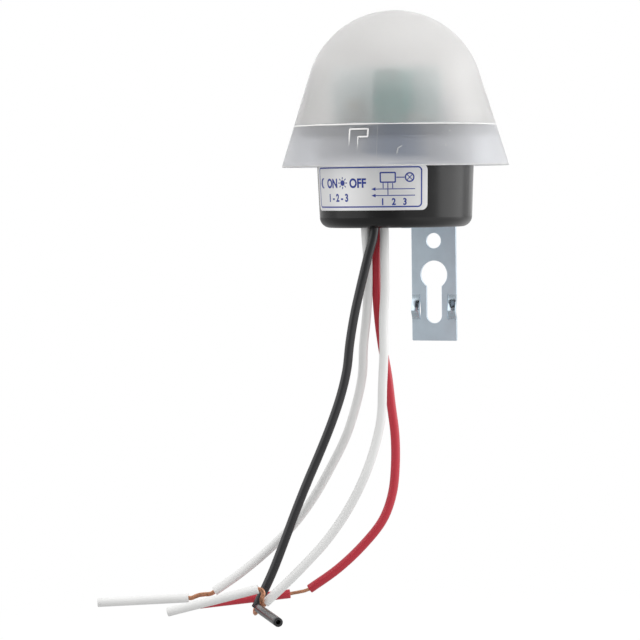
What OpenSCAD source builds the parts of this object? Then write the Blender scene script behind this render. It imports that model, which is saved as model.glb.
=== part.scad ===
// Photocell switch: a frosted bell over a black base cup, on a steel strip bracket, with four leads.
// The origin is the centre of the bracket's round hole, on the face that lies against the wall.
// +Y points into the wall, +Z is up, and the front of the switch faces -Y.

/* [Dome cover] */
// Outside diameter of the dome at its rim
rim_d = 68; // [64:0.5:76]
// Height of the dome from its rim to its crown
dome_h = 46.5; // [44:0.5:54]
// Radius of the round crown, outside
crown_r = 26.5; // [24:0.5:29]
// Wall of the dome above the ledge
dome_wall = 2; // [1.4:0.1:2.6]
// Wall of the skirt below the ledge
skirt_wall = 1.2; // [0.8:0.1:1.6]
// Height of the inside ledge above the rim
ledge_h = 12.4; // [10:0.2:15]

/* [Bayonet] */
// Number of bayonet lugs round the base's flange
lug_count = 3; // [2:1:4]
// Width of a lug along the flange
lug_w = 2.2; // [1.6:0.1:3.2]
// Height of a lug
lug_h = 2.2; // [1.6:0.1:2.6]
// Wall left outside a bayonet groove
groove_skin = 0.4; // [0.3:0.05:0.6]
// Turn from locked to the entry channel, in degrees
twist = 6; // [4:0.5:12]
// Clearance round a lug in its slot
lug_gap = 0.2; // [0.15:0.05:0.3]

/* [Base housing] */
// Diameter of the base where it leaves the dome's rim
base_d = 46.8; // [45:0.2:49]
// How far the base hangs below the rim
base_drop = 18.1; // [16:0.1:22]
// Draft of the base's side, in degrees
base_draft = 2.4; // [1:0.2:3]
// Side wall of the base
base_wall = 1.6; // [1.2:0.1:2.2]
// Floor of the base
floor_t = 2.4; // [2:0.1:3.4]
// Rounding of the base's bottom edge, outside
base_fillet = 3.2; // [2:0.2:4]
// Thickness of the top flange
flange_t = 3.2; // [2.8:0.1:4]
// Clearance between the flange and the skirt
flange_gap = 0.35; // [0.3:0.05:0.6]
// Clearance between the flange and the ledge that rests over it
seat_gap = 0.15; // [0.1:0.05:0.3]
// Diameter of the hole that the leads leave by
exit_d = 9.4; // [9:0.1:10.4]

/* [Label] */
// Width of the label, measured round the base
label_w = 41; // [30:1:46]
// Height of the label
label_h = 13.4; // [9:0.2:13.6]
// Thickness of the label
label_t = 0.15; // [0.1:0.05:0.3]
// Corner radius of the label
label_corner = 1.8; // [0.8:0.2:3]
// Turn of the label's middle from the front, in degrees
label_turn = -6.6; // [-20:0.2:20]

/* [Wall bracket] */
// Width of the strip
strip_w = 14.5; // [13:0.5:18]
// Thickness of the strip
strip_t = 1; // [0.8:0.1:1.4]
// Length of the strip below the round hole
strip_below = 31; // [30:0.5:40]
// Height of the base's bottom above the round hole
hole_drop = 4.8; // [4.6:0.1:8]
// Diameter of the round hole
hole_d = 4.8; // [4:0.1:5.4]
// Diameter of the keyhole's head
key_head_d = 8.7; // [8:0.1:9.4]
// Width of the keyhole's slot
key_slot_w = 5; // [4.4:0.1:5.4]
// Depth of the keyhole head's centre below the round hole
key_drop = 10.5; // [9.5:0.1:12]
// Distance from the keyhole head's centre to the centre of the slot's end
key_run = 12.6; // [10:0.1:13.5]
// Inside radius of the bend
bend_r = 1; // [0.8:0.1:1.6]
// Length of a spring tab at the strip's edge
tab_h = 7.7; // [6:0.1:8.4]
// Depth of the tab's top below the round hole
tab_drop = 16.7; // [16:0.1:18]
// Width of a spring tab
tab_w = 2.6; // [2:0.1:2.8]
// How far a spring tab bows out of the strip
tab_bow = 1.3; // [0.8:0.1:1.6]
// Clearance between the strip's back and the dome's rim
wall_gap = 0.6; // [0.4:0.1:3]

/* [Circuit board] */
// Width of the board
board_w = 34; // [32:0.5:35]
// Thickness of the board
board_t = 1.6; // [1.2:0.2:2]
// Height of the board's top edge above the dome's rim
board_rise = 29.4; // [28:0.2:31]
// Distance of the board's front face before the dome's axis
board_front = 8; // [7:0.2:9]
// Clearance round the board in its guides
board_gap = 0.15; // [0.1:0.05:0.3]
// Height of the board guides above the floor
guide_h = 20; // [14:1:22]

/* [Board parts] */
// Width of the relay
relay_w = 15.3; // [14:0.1:16]
// Height of the relay
relay_h = 19; // [17:0.5:20]
// Depth of the relay behind the board
relay_depth = 15.5; // [14:0.5:16]
// Width of the film capacitor, and its depth before the board
film_w = 9; // [7:0.5:9.5]
// Height of the film capacitor
film_h = 19.5; // [15:0.5:20]
// Diameter of the electrolytic capacitor's can
can_d = 10; // [8:0.5:10]
// Length of the electrolytic capacitor's can
can_h = 14; // [11:0.5:15]
// Diameter of the photoresistor
sensor_d = 5.2; // [4:0.1:5.4]
// How far the photoresistor stands off the board
sensor_stand = 6; // [3:0.5:7]
// Body diameter of a rectifier diode
diode_d = 2.7; // [2.4:0.1:2.8]
// Body diameter of a resistor
resistor_d = 2.4; // [1.8:0.1:2.6]
// Spacing of the diodes and of the resistors down the board
row_step = 3.7; // [3.5:0.1:4]
// Body diameter of the transistor
transistor_d = 4.8; // [4.4:0.1:5]

/* [Leads] */
// Outside diameter of a lead
lead_d = 2.7; // [2.3:0.1:2.8]
// Diameter of the bare strands
core_d = 1.3; // [1:0.1:1.5]
// Diameter of the leads' tinned tails on the board
tail_d = 1; // [0.8:0.1:1.3]

/* [Hidden] */
$fn = 96;

// Cutters run this far past the faces that they cut
over = 1;

// Places of the main pieces in the wall's frame
rim_r = rim_d / 2;
axis_y = -(rim_r + wall_gap);
base_z = hole_drop;
rim_z = base_z + base_drop;

// The dome's side is a cone that meets the crown's sphere without a kink
crown_up = dome_h - crown_r;
slope = acos(crown_r / norm([rim_r, crown_up])) - atan2(crown_up, rim_r);
function cone_r(z, inset) = rim_r - inset / cos(slope) - z * tan(slope);

// The base's side is drafted, widest at the top
function base_r(z) = base_d / 2 + (z - base_drop) * tan(base_draft);

// The flange fills the skirt just under the ledge
flange_top = base_drop + ledge_h - seat_gap;
flange_low = flange_top - flange_t;
flange_r = cone_r(ledge_h, skirt_wall) - flange_gap;
lug_low = flange_low + (flange_t - lug_h) / 2;
// A lug's face leans as the groove's bottom does, and is widest at its lower edge
function lug_face(z) = cone_r(z - base_drop, groove_skin) - lug_gap;
channel_angle = 2 * asin((lug_w / 2 + lug_gap) / flange_r);
lug_turn = twist / 2;

// The board stands in two guides on the base's floor
board_lift = 1.6;
board_low = floor_t + board_lift;
board_top = base_drop + board_rise;
board_y = -board_front;
board_back = board_y + board_t;
guide_grip = 1.5;
guide_side = 1.8;

// The label's top tucks up this far behind the dome's rim
label_tuck = 0.5;

// Shares of a spring tab's length where it leaves the strip and where its crest is
tab_start = 0.18;
tab_crest = 0.66;

// Places of the parts across the board, from its middle
relay_x = -board_w * 0.13;
film_x = board_w * 0.12;
can_x = board_w * 0.28;
sensor_x = -board_w * 0.29;
diode_x = -board_w * 0.265;
transistor_x = board_w * 0.365;
resistor_x = board_w * 0.235;
// Places down the board, from its top edge
relay_drop = relay_h * 0.74;
film_drop = film_h * 0.56;
transistor_drop = film_h * 0.77;
zener_drop = row_step * 3.1;
diode_drop = row_step * 4.3;
resistor_drop = row_step * 7.05;

// Wires of the board's parts
fine_wire = 0.55;
stout_wire = 0.8;
wire_pitch = 10;
axial_lift = 0.4;

// Fixing of the bracket's leg under the base
leg_front = 4;
rivet_y = 11;
shank_d = 3;
shank_gap = 0.1;
rivet_head_d = 5.2;
rivet_head_t = 0.5;
rivet_upset_d = 4.4;
rivet_upset_t = 0.8;
washer_d = 7;
washer_t = 0.6;
recess_gap = 0.2;

// Routes of the leads, in a frame on the dome's axis that is turned lead_turn from the front
lead_turn = 20;
exit_at = [-6, -12];
tail_rise = 1.6;
tail_step = 1.6;
black_route = [
    [-6.5, -14, 14], [-6.5, -14, 4], [-8.5, -15, -4], [-10.5, -15.5, -12], [-12.5, -15.5, -20.5],
    [-14, -15, -29], [-15, -14.5, -37], [-17, -14, -45], [-20, -13.5, -53.5], [-23.5, -12.5, -62],
    [-27, -12, -70], [-30.5, -11.5, -78.5], [-34, -11, -87.5], [-38, -10.5, -97.5], [-43, -10, -107.9]
];
red_route = [
    [-5.5, -9.5, 14], [-5.5, -9.5, 4], [-6, -9.5, -4.5], [-6, -9.5, -13], [-5.5, -9, -21.5],
    [-4.5, -9, -30], [-3, -9, -39], [-2, -9, -48], [-1, -8.5, -57], [-1, -8, -66],
    [-2, -7.5, -74.5], [-5, -7, -82.5], [-11, -6.5, -90], [-18.5, -6, -97], [-27, -5.5, -103]
];
left_white_route = [
    [-9, -12, 14], [-9, -12, 4], [-8.5, -11.5, -4], [-8.5, -11, -12.5], [-9, -10.5, -21],
    [-10, -10, -30], [-10.5, -9.5, -39], [-12.5, -9, -48], [-15.5, -8.5, -57], [-20, -7.5, -66],
    [-25.5, -6.5, -75.5], [-31.5, -6, -83.5], [-39, -5.5, -91], [-47.5, -5, -98], [-55.5, -5, -103.5]
];
right_white_route = [
    [-3.5, -12, 14], [-3.5, -12, 4], [-3.5, -12.5, -4.5], [-3.5, -12.5, -13.5], [-4, -12.5, -22.5],
    [-4, -13, -32], [-4.5, -13, -41.5], [-5, -13, -51], [-7, -13, -60], [-10.5, -13.5, -69.5],
    [-15.5, -13.5, -79], [-21.5, -13.5, -87.5], [-27.5, -14, -94], [-33.5, -14, -100], [-40, -14, -106]
];
// Bare strands run from the end of each lead into its end sleeve
black_bare = [
    [-43, -10, -107.9], [-43.2, -10.5, -108.8], [-43.1, -11.9, -109.3], [-42.8, -13.6, -108.8],
    [-42, -16, -107.5], [-41.7, -17.2, -107.2]
];
red_bare = [
    [-27, -5.5, -103], [-28.6, -5.4, -103.6], [-30.4, -5.2, -104], [-32, -5, -104.3], [-33, -5, -104.5]
];
left_white_bare = [
    [-55.5, -5, -103.5], [-56.8, -5, -104.3], [-60, -5, -104.6], [-62.4, -5, -105.5], [-63.5, -5, -105.5]
];
right_white_bare = [
    [-40, -14, -106], [-40.4, -14.5, -106.5], [-40.9, -15.4, -105.9], [-40.9, -15.9, -104.5],
    [-40.5, -16, -103], [-40.9, -15.9, -101.9], [-42, -15.7, -101.6]
];
// Far ends of the end sleeves
black_tip = [-35, -43.5, -107.5];
red_tip = [-60, -4.5, -107.5];
left_white_tip = [-90.5, -6, -106.5];
right_white_tip = [-69, -13.5, -108.5];
// Depth of the empty bore at a sleeve's far end, where the strands have been drawn back
bore_depth = 6;
lead_sides = 8;

module on_axis() {
    translate([0, axis_y, base_z]) children();
}

module in_lead_frame() {
    translate([0, axis_y, 0]) rotate(lead_turn) children();
}

// A sector of a ring, with its middle turned from the front
module ring_sector(turn, angle, r_in, r_out, low, high) {
    rotate(turn - angle / 2 - 90)
        rotate_extrude(angle = angle)
            translate([r_in, low]) square([r_out - r_in, high - low]);
}

// Half section of the dome, set in from the outside by inset and cut off level at low
module bell(inset, low) {
    r = crown_r - inset;
    tangent_z = crown_up + r * sin(slope);
    polygon([[0, low], [cone_r(low, inset), low], [r * cos(slope), tangent_z], [0, tangent_z]]);
    intersection() {
        translate([0, crown_up]) circle(r);
        translate([0, tangent_z]) square(r);
    }
}

module bell_section() {
    difference() {
        bell(0, 0);
        bell(dome_wall, ledge_h - over / 2);
        polygon([
            [0, -over], [cone_r(-over, skirt_wall), -over],
            [cone_r(ledge_h, skirt_wall), ledge_h], [0, ledge_h]
        ]);
    }
}

// A blind groove inside the wall for the locked lug, and an entry groove that runs out down the skirt
module bayonet_groove(turn) {
    low = lug_low - base_drop - lug_gap;
    high = low + lug_h + 2 * lug_gap;
    inner_r = flange_r - over;
    span = channel_angle + twist;
    rotate(turn - lug_turn - span / 2 - 90)
        rotate_extrude(angle = span)
            polygon([
                [inner_r, low], [cone_r(low, groove_skin), low],
                [cone_r(high, groove_skin), high], [inner_r, high]
            ]);
    entry_r = lug_face(lug_low) + lug_gap;
    ring_sector(turn - 2 * lug_turn, channel_angle, inner_r, entry_r, -over, low + lug_gap / 2);
}

module dome_cover() {
    color("whitesmoke", 0.7)
        translate([0, axis_y, rim_z])
            difference() {
                rotate_extrude() bell_section();
                for (i = [0 : lug_count - 1]) bayonet_groove(lug_turn + i * 360 / lug_count);
            }
}

// Half section of the base's outside, with a rounded bottom edge tangent to the drafted side
module cup_outside() {
    centre_r = base_r(base_fillet) - base_fillet / cos(base_draft);
    side_z = base_fillet * (1 - sin(base_draft));
    polygon([
        [0, 0], [centre_r, 0], [base_r(side_z), side_z], [base_r(flange_low), flange_low],
        [flange_r, flange_low], [flange_r, flange_top], [0, flange_top]
    ]);
    intersection() {
        translate([centre_r, base_fillet]) circle(base_fillet);
        translate([centre_r, 0]) square([base_fillet, side_z]);
    }
}

module cup_hollow() {
    polygon([
        [0, floor_t], [base_r(floor_t) - base_wall, floor_t],
        [base_r(flange_top + over) - base_wall, flange_top + over], [0, flange_top + over]
    ]);
}

module lug(turn) {
    lug_high = lug_low + lug_h;
    root = over - flange_r;
    rotate(turn) translate([-lug_w / 2, 0, 0]) rotate([90, 0, 90]) linear_extrude(lug_w) polygon([
        [root, lug_low], [-lug_face(lug_low), lug_low], [-lug_face(lug_high), lug_high], [root, lug_high]
    ]);
}

// Upright blocks against the cup's wall that hold the board's edges
module board_guides() {
    length = board_t + 2 * (board_gap + guide_side);
    intersection() {
        for (side = [-1, 1])
            translate([side * (board_w / 2 - guide_grip + base_d / 4), board_y + board_t / 2, 0])
                translate([-base_d / 4, -length / 2, 0])
                    cube([base_d / 2, length, floor_t + guide_h]);
        rotate_extrude() polygon([
            [0, floor_t / 2], [base_r(floor_t) - base_wall / 2, floor_t / 2],
            [base_r(flange_low) - base_wall / 2, flange_low], [0, flange_low]
        ]);
    }
}

module base_housing() {
    color("#1c1c1d")
        on_axis() difference() {
            union() {
                difference() {
                    rotate_extrude() cup_outside();
                    rotate_extrude() cup_hollow();
                }
                for (i = [0 : lug_count - 1]) lug(lug_turn + i * 360 / lug_count);
                board_guides();
            }
            // Slot for the board's edges
            translate([-board_w / 2 - board_gap, board_y - board_gap, board_low])
                cube([board_w + 2 * board_gap, board_t + 2 * board_gap, guide_h + over]);
            // Hole for the leads
            rotate(lead_turn)
                translate([exit_at[0], exit_at[1], -over])
                    cylinder(d = exit_d, h = floor_t + 2 * over);
            // Recess for the bracket's leg
            translate([-strip_w / 2 - recess_gap, leg_front - recess_gap, -over])
                cube([strip_w + 2 * recess_gap, base_d, strip_t + over]);
            // Hole for the rivet
            translate([0, rivet_y, 0]) cylinder(d = shank_d + 2 * shank_gap, h = floor_t + over);
        }
}

// Rounds one corner of the label; side and end are -1 or 1
module label_corner_cut(side, end, span, low) {
    z = end < 0 ? low : low + label_h;
    rotate(label_turn + side * span / 2)
        translate([-side * label_corner, 0, z - end * label_corner])
            rotate([90, 0, 0])
                difference() {
                    scale([side, end, 1]) cube([label_corner + over, label_corner + over, base_d]);
                    translate([0, 0, -over]) cylinder(r = label_corner, h = base_d + 2 * over);
                }
}

module rating_label() {
    low = base_drop + label_tuck - label_h;
    high = low + label_h;
    span = label_w / (base_d / 2) * 180 / PI;
    foil_gap = 0.02;
    color("#c9cacd")
        on_axis() difference() {
            rotate(label_turn - span / 2 - 90)
                rotate_extrude(angle = span)
                    translate([foil_gap, 0])
                        polygon([
                            [base_r(low), low], [base_r(low) + label_t, low],
                            [base_r(high) + label_t, high], [base_r(high), high]
                        ]);
            for (side = [-1, 1]) for (end = [-1, 1]) label_corner_cut(side, end, span, low);
        }
}

// Side view of the strip: the leg under the base, the bend and the upright that lies on the wall
module strip_profile() {
    outer_r = bend_r + strip_t;
    bend_z = base_z + strip_t - outer_r;
    translate([-strip_t, -strip_below]) square([strip_t, strip_below + bend_z]);
    translate([axis_y + leg_front, base_z]) square([-outer_r - axis_y - leg_front, strip_t]);
    intersection() {
        translate([-outer_r, bend_z]) difference() {
            circle(outer_r);
            circle(bend_r);
        }
        translate([-outer_r, bend_z]) square(outer_r);
    }
}

// Bow of a spring tab at a share of its length: an eased slope to the crest and a shorter one back
function tab_rise(share) = share < tab_crest
    ? max(0, share - tab_start) / (tab_crest - tab_start)
    : (1 - share) / (1 - tab_crest);
function eased(t) = t * t * (3 - 2 * t);
function tab_out(share) = tab_bow * eased(tab_rise(share));

// Side view of a spring tab, joined to the strip above and below
module tab_profile() {
    steps = 18;
    shares = [for (k = [0 : steps]) k / steps];
    wall_side = [for (t = shares) [-tab_out(t), -tab_drop - t * tab_h]];
    front_side = [for (k = [0 : steps]) wall_side[steps - k] - [strip_t, 0]];
    low = -tab_drop - tab_h - over;
    high = over - tab_drop;
    polygon(concat(
        [[0, high]], wall_side, [[0, low], [-strip_t, low]], front_side, [[-strip_t, high]]
    ));
}

module wall_bracket() {
    slit = 0.35;
    corner_r = 0.4;
    tab_cut = tab_w + slit;
    color("#aab2bb") {
        difference() {
            translate([-strip_w / 2, 0, 0]) rotate([90, 0, 90]) linear_extrude(strip_w) strip_profile();
            rotate([90, 0, 0]) translate([0, 0, -over]) cylinder(d = hole_d, h = strip_t + 2 * over);
            translate([0, 0, -key_drop]) rotate([90, 0, 0]) translate([0, 0, -over]) {
                cylinder(d = key_head_d, h = strip_t + 2 * over);
                translate([0, -key_run, 0]) cylinder(d = key_slot_w, h = strip_t + 2 * over);
                translate([-key_slot_w / 2, -key_run, 0]) cube([key_slot_w, key_run, strip_t + 2 * over]);
            }
            on_axis()
                translate([0, rivet_y, -over])
                    cylinder(d = shank_d + 2 * shank_gap, h = strip_t + 2 * over);
            for (side = [-1, 1]) {
                // Room for the spring tab and its slit
                translate([side * (strip_w - tab_cut + over) / 2, -strip_t / 2, -tab_drop - tab_h / 2])
                    cube([tab_cut + over, strip_t + 2 * over, tab_h], center = true);
                // Rounded bottom corner
                translate([side * (strip_w / 2 - corner_r), over, corner_r - strip_below])
                    rotate([90, 0, 0]) difference() {
                        scale([side, -1, 1]) cube([corner_r + over, corner_r + over, strip_t + 2 * over]);
                        translate([0, 0, -over]) cylinder(r = corner_r, h = strip_t + 4 * over);
                    }
            }
        }
        for (side = [-1, 1])
            translate([side * (strip_w - tab_w) / 2 - tab_w / 2, 0, 0])
                rotate([90, 0, 90]) linear_extrude(tab_w) tab_profile();
    }
}

// Low round head below the leg, shank, and the end that is spread over the washer
module bracket_rivet() {
    head_r = rivet_head_d / 2;
    spread_z = floor_t + washer_t;
    taper = 0.3;
    color("silver")
        on_axis() translate([0, rivet_y, 0]) rotate_extrude() polygon([
            [0, -rivet_head_t], [head_r * 0.6, -rivet_head_t], [head_r, -rivet_head_t / 3], [head_r, 0],
            [shank_d / 2, 0], [shank_d / 2, spread_z], [rivet_upset_d / 2, spread_z],
            [rivet_upset_d / 2 - taper, spread_z + rivet_upset_t], [0, spread_z + rivet_upset_t]
        ]);
}

module rivet_washer() {
    color("silver")
        on_axis() translate([0, rivet_y, floor_t]) difference() {
            cylinder(d = washer_d, h = washer_t);
            translate([0, 0, -over]) cylinder(d = shank_d + 2 * shank_gap, h = washer_t + 2 * over);
        }
}

module circuit_board() {
    chamfer = 2;
    half = board_w / 2;
    color("#d5e2dc")
        on_axis() translate([0, board_back, 0]) rotate([90, 0, 0]) linear_extrude(board_t) polygon([
            [-half, board_low], [half, board_low], [half, board_top - chamfer], [half - chamfer, board_top],
            [-half + chamfer, board_top], [-half, board_top - chamfer]
        ]);
}

// An upright block with rounded edges, its back face at y = 0 and its middle at the origin
module rounded_block(w, h, depth, r) {
    rotate([90, 0, 0]) linear_extrude(depth) union() {
        square([w - 2 * r, h], center = true);
        square([w, h - 2 * r], center = true);
        for (sx = [-1, 1]) for (sz = [-1, 1]) translate([sx * (w / 2 - r), sz * (h / 2 - r)]) circle(r);
    }
}

// Places a part on the board's front face, at x from its middle and drop below its top edge
module on_front(x, drop) {
    on_axis() translate([x, board_y, board_top - drop]) children();
}

// Places a part on the board's back face, turned to stand out from it
module on_back(x, drop) {
    on_axis() translate([x, board_back, board_top - drop]) rotate(180) children();
}

module relay() {
    seat = 0.8;
    edge = 0.8;
    color("#20242a") on_back(relay_x, relay_drop) {
        rounded_block(relay_w - 2 * edge, relay_h - 2 * edge, seat, edge / 2);
        translate([0, -seat, 0]) rounded_block(relay_w, relay_h, relay_depth - seat, edge);
    }
}

module film_capacitor() {
    color("#3a938a")
        on_front(film_x, film_drop) rounded_block(film_w, film_h, film_w, film_w / 4);
}

module electrolytic_capacitor() {
    can_r = can_d / 2;
    groove = can_h * 0.11;
    edge = can_d * 0.045;
    color("#22344d") on_back(can_x, can_h) rotate([90, 0, 0]) rotate_extrude() polygon([
        [0, 0], [can_r - edge, 0], [can_r, edge], [can_r, groove], [can_r - edge, groove + edge],
        [can_r, groove + 2 * edge], [can_r, can_h - edge], [can_r - edge, can_h], [0, can_h]
    ]);
}

// A wire from the board's face straight out to depth
module board_wire(x, d, depth) {
    translate([x, 0, 0]) rotate([90, 0, 0]) cylinder(d = d, h = depth, $fn = 24);
}

module photoresistor() {
    disc_t = sensor_d * 0.4;
    pitch = sensor_d * 0.65;
    flat = sensor_d * 0.84;
    color("#c3c7b8") on_front(sensor_x, sensor_d) {
        translate([0, -sensor_stand, 0]) rotate([90, 0, 0]) intersection() {
            cylinder(d = sensor_d, h = disc_t);
            translate([-sensor_d / 2, -flat / 2, -over]) cube([sensor_d, flat, disc_t + 2 * over]);
        }
        for (side = [-1, 1]) board_wire(side * pitch / 2, fine_wire, sensor_stand);
    }
}

// An axial part that lies along the board, on two bent wires
module axial_part(body_d, body_l, wire_d, pitch) {
    stand = body_d / 2 + axial_lift;
    translate([0, -stand, 0]) rotate([0, 90, 0]) {
        translate([0, 0, -body_l / 2]) cylinder(d = body_d, h = body_l, $fn = 32);
        translate([0, 0, -pitch / 2]) cylinder(d = wire_d, h = pitch, $fn = 24);
    }
    for (side = [-1, 1]) {
        board_wire(side * pitch / 2, wire_d, stand);
        translate([side * pitch / 2, -stand, 0]) sphere(d = wire_d, $fn = 24);
    }
}

module rectifier_diodes() {
    color("#47474a")
        for (i = [0 : 3])
            on_front(diode_x, diode_drop + i * row_step)
                axial_part(diode_d, diode_d * 1.93, stout_wire, wire_pitch);
}

module zener_diode() {
    color("#b8b09c")
        on_front(diode_x, zener_drop)
            axial_part(diode_d * 0.7, diode_d * 1.45, fine_wire, wire_pitch * 0.75);
}

module transistor() {
    stand = transistor_d * 0.83;
    pitch = transistor_d * 0.265;
    half = transistor_d / 2;
    color("#242426") on_front(transistor_x, transistor_drop) {
        translate([0, -stand, 0]) rotate([90, 0, 0]) intersection() {
            cylinder(d = transistor_d, h = transistor_d);
            translate([-half, -half, -over])
                cube([transistor_d, transistor_d * 0.76, transistor_d + 2 * over]);
        }
        for (i = [-1 : 1]) board_wire(i * pitch, fine_wire, stand);
    }
}

module resistors() {
    color("#c9b48a")
        for (i = [0 : 2])
            on_front(resistor_x, resistor_drop + i * row_step)
                axial_part(resistor_d, resistor_d * 2.6, fine_wire, wire_pitch);
}

// Point of a lead's frame seen from the dome's axis
function turned(p) = [
    p[0] * cos(lead_turn) - p[1] * sin(lead_turn),
    p[0] * sin(lead_turn) + p[1] * cos(lead_turn)
];

// Each tinned tail stands on its lead's end and runs back to the board, one above the other
module lead_tails() {
    routes = [red_route, left_white_route, right_white_route, black_route];
    color("silver") for (i = [0 : len(routes) - 1]) {
        foot = turned(routes[i][0]);
        low = routes[i][0][2];
        rise = tail_rise + i * tail_step;
        translate([foot[0], axis_y + foot[1], low]) {
            cylinder(d = tail_d, h = rise, $fn = 24);
            translate([0, 0, rise]) sphere(d = tail_d, $fn = 24);
            translate([0, 0, rise]) rotate([-90, 0, 0]) cylinder(d = tail_d, h = board_y - foot[1], $fn = 24);
        }
    }
}

function unit(v) = v / norm(v);
function heading(route, i) = unit(route[min(i + 1, len(route) - 1)] - route[max(i - 1, 0)]);
function ring(route, i, r, side) =
    let (along = heading(route, i), u = unit(cross(along, side)), v = cross(along, u))
    let (step = 360 / lead_sides)
    [for (k = [0 : lead_sides - 1]) route[i] + r * (cos(step * k) * u + sin(step * k) * v)];

// A tube along a route; side is any direction that the route never runs along
module tube(route, d, side) {
    last = len(route) - 1;
    points = [for (i = [0 : last]) each ring(route, i, d / 2, side)];
    walls = [
        for (i = [0 : last - 1]) for (k = [0 : lead_sides - 1])
            let (a = i * lead_sides + k, b = i * lead_sides + (k + 1) % lead_sides)
            each [[a, b, b + lead_sides], [a, b + lead_sides, a + lead_sides]]
    ];
    near_end = [for (k = [0 : lead_sides - 1]) lead_sides - 1 - k];
    far_end = [for (k = [0 : lead_sides - 1]) last * lead_sides + k];
    in_lead_frame() polyhedron(points, concat(walls, [near_end, far_end]));
}

// A cut length of a lead's sleeve, with an empty bore at its tip
module end_sleeve(start, tip) {
    along = tip - start;
    length = norm(along);
    tilt = acos(along[2] / length);
    bearing = atan2(along[1], along[0]);
    in_lead_frame() translate(start) rotate([0, tilt, bearing]) difference() {
        cylinder(d = lead_d, h = length, $fn = 32);
        translate([0, 0, length - bore_depth]) cylinder(d = core_d, h = bore_depth + over, $fn = 32);
    }
}

// Directions that the tubes never run along
across = [0, 1, 0];
aside = [1, 0, 0];

module black_lead() {
    color("#222223") tube(black_route, lead_d, across);
}

module red_lead() {
    color("#b83c48") tube(red_route, lead_d, across);
}

module left_white_lead() {
    color("#e4e4e4") tube(left_white_route, lead_d, across);
}

module right_white_lead() {
    color("#e4e4e4") tube(right_white_route, lead_d, across);
}

module black_core() {
    color("#b0714a") tube(black_bare, core_d, aside);
}

module red_core() {
    color("#b0714a") tube(red_bare, core_d, across);
}

module left_white_core() {
    color("#b0714a") tube(left_white_bare, core_d, across);
}

module right_white_core() {
    color("#b0714a") tube(right_white_bare, core_d, across);
}

module black_end_sleeve() {
    color("#222223") end_sleeve(black_bare[len(black_bare) - 1], black_tip);
}

module red_end_sleeve() {
    color("#b83c48") end_sleeve(red_bare[len(red_bare) - 1], red_tip);
}

module left_white_end_sleeve() {
    color("#e4e4e4") end_sleeve(left_white_bare[len(left_white_bare) - 1], left_white_tip);
}

module right_white_end_sleeve() {
    color("#e4e4e4") end_sleeve(right_white_bare[len(right_white_bare) - 1], right_white_tip);
}

dome_cover();
base_housing();
rating_label();
wall_bracket();
bracket_rivet();
rivet_washer();
circuit_board();
relay();
film_capacitor();
electrolytic_capacitor();
photoresistor();
rectifier_diodes();
zener_diode();
transistor();
resistors();
lead_tails();
black_lead();
red_lead();
left_white_lead();
right_white_lead();
black_core();
red_core();
left_white_core();
right_white_core();
black_end_sleeve();
red_end_sleeve();
left_white_end_sleeve();
right_white_end_sleeve();
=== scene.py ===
"""Photocell switch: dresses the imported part, piece by piece, in the part's own frame."""
import math
from contextlib import contextmanager

import bmesh
import bpy
from bpy.props import FloatProperty, FloatVectorProperty, PointerProperty
from mathutils import Matrix, Vector


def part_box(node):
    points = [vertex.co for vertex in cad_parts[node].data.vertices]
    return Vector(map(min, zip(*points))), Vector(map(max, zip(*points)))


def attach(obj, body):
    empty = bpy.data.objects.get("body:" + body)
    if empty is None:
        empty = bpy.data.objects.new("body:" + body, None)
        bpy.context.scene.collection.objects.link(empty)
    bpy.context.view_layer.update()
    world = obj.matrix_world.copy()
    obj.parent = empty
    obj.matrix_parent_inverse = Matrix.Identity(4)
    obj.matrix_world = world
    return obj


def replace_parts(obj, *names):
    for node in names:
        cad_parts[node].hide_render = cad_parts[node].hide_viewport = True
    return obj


bl_info = {
    "name": "Photocell Switch",
    "version": (1, 0, 0),
    "blender": (4, 5, 0),
    "location": "View3D > Sidebar > Photocell",
    "description": "Builds the frosted dome, label, bracket and leads of a photocell switch",
    "category": "Object",
}

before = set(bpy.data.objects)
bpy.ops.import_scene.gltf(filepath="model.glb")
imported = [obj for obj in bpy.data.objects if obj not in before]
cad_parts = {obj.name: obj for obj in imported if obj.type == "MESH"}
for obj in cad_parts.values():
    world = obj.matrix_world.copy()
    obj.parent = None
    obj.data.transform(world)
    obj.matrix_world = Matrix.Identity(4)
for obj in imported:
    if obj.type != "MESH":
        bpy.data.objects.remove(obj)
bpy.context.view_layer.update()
DOME_LOW, DOME_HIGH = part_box("dome_cover")
STRIP_LOW, STRIP_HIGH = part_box("wall_bracket")

MM = 0.001
AXIS_Y = (DOME_LOW.y + DOME_HIGH.y) / 2
RIM_Z = DOME_LOW.z
BASE_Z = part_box("base_housing")[0].z

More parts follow.
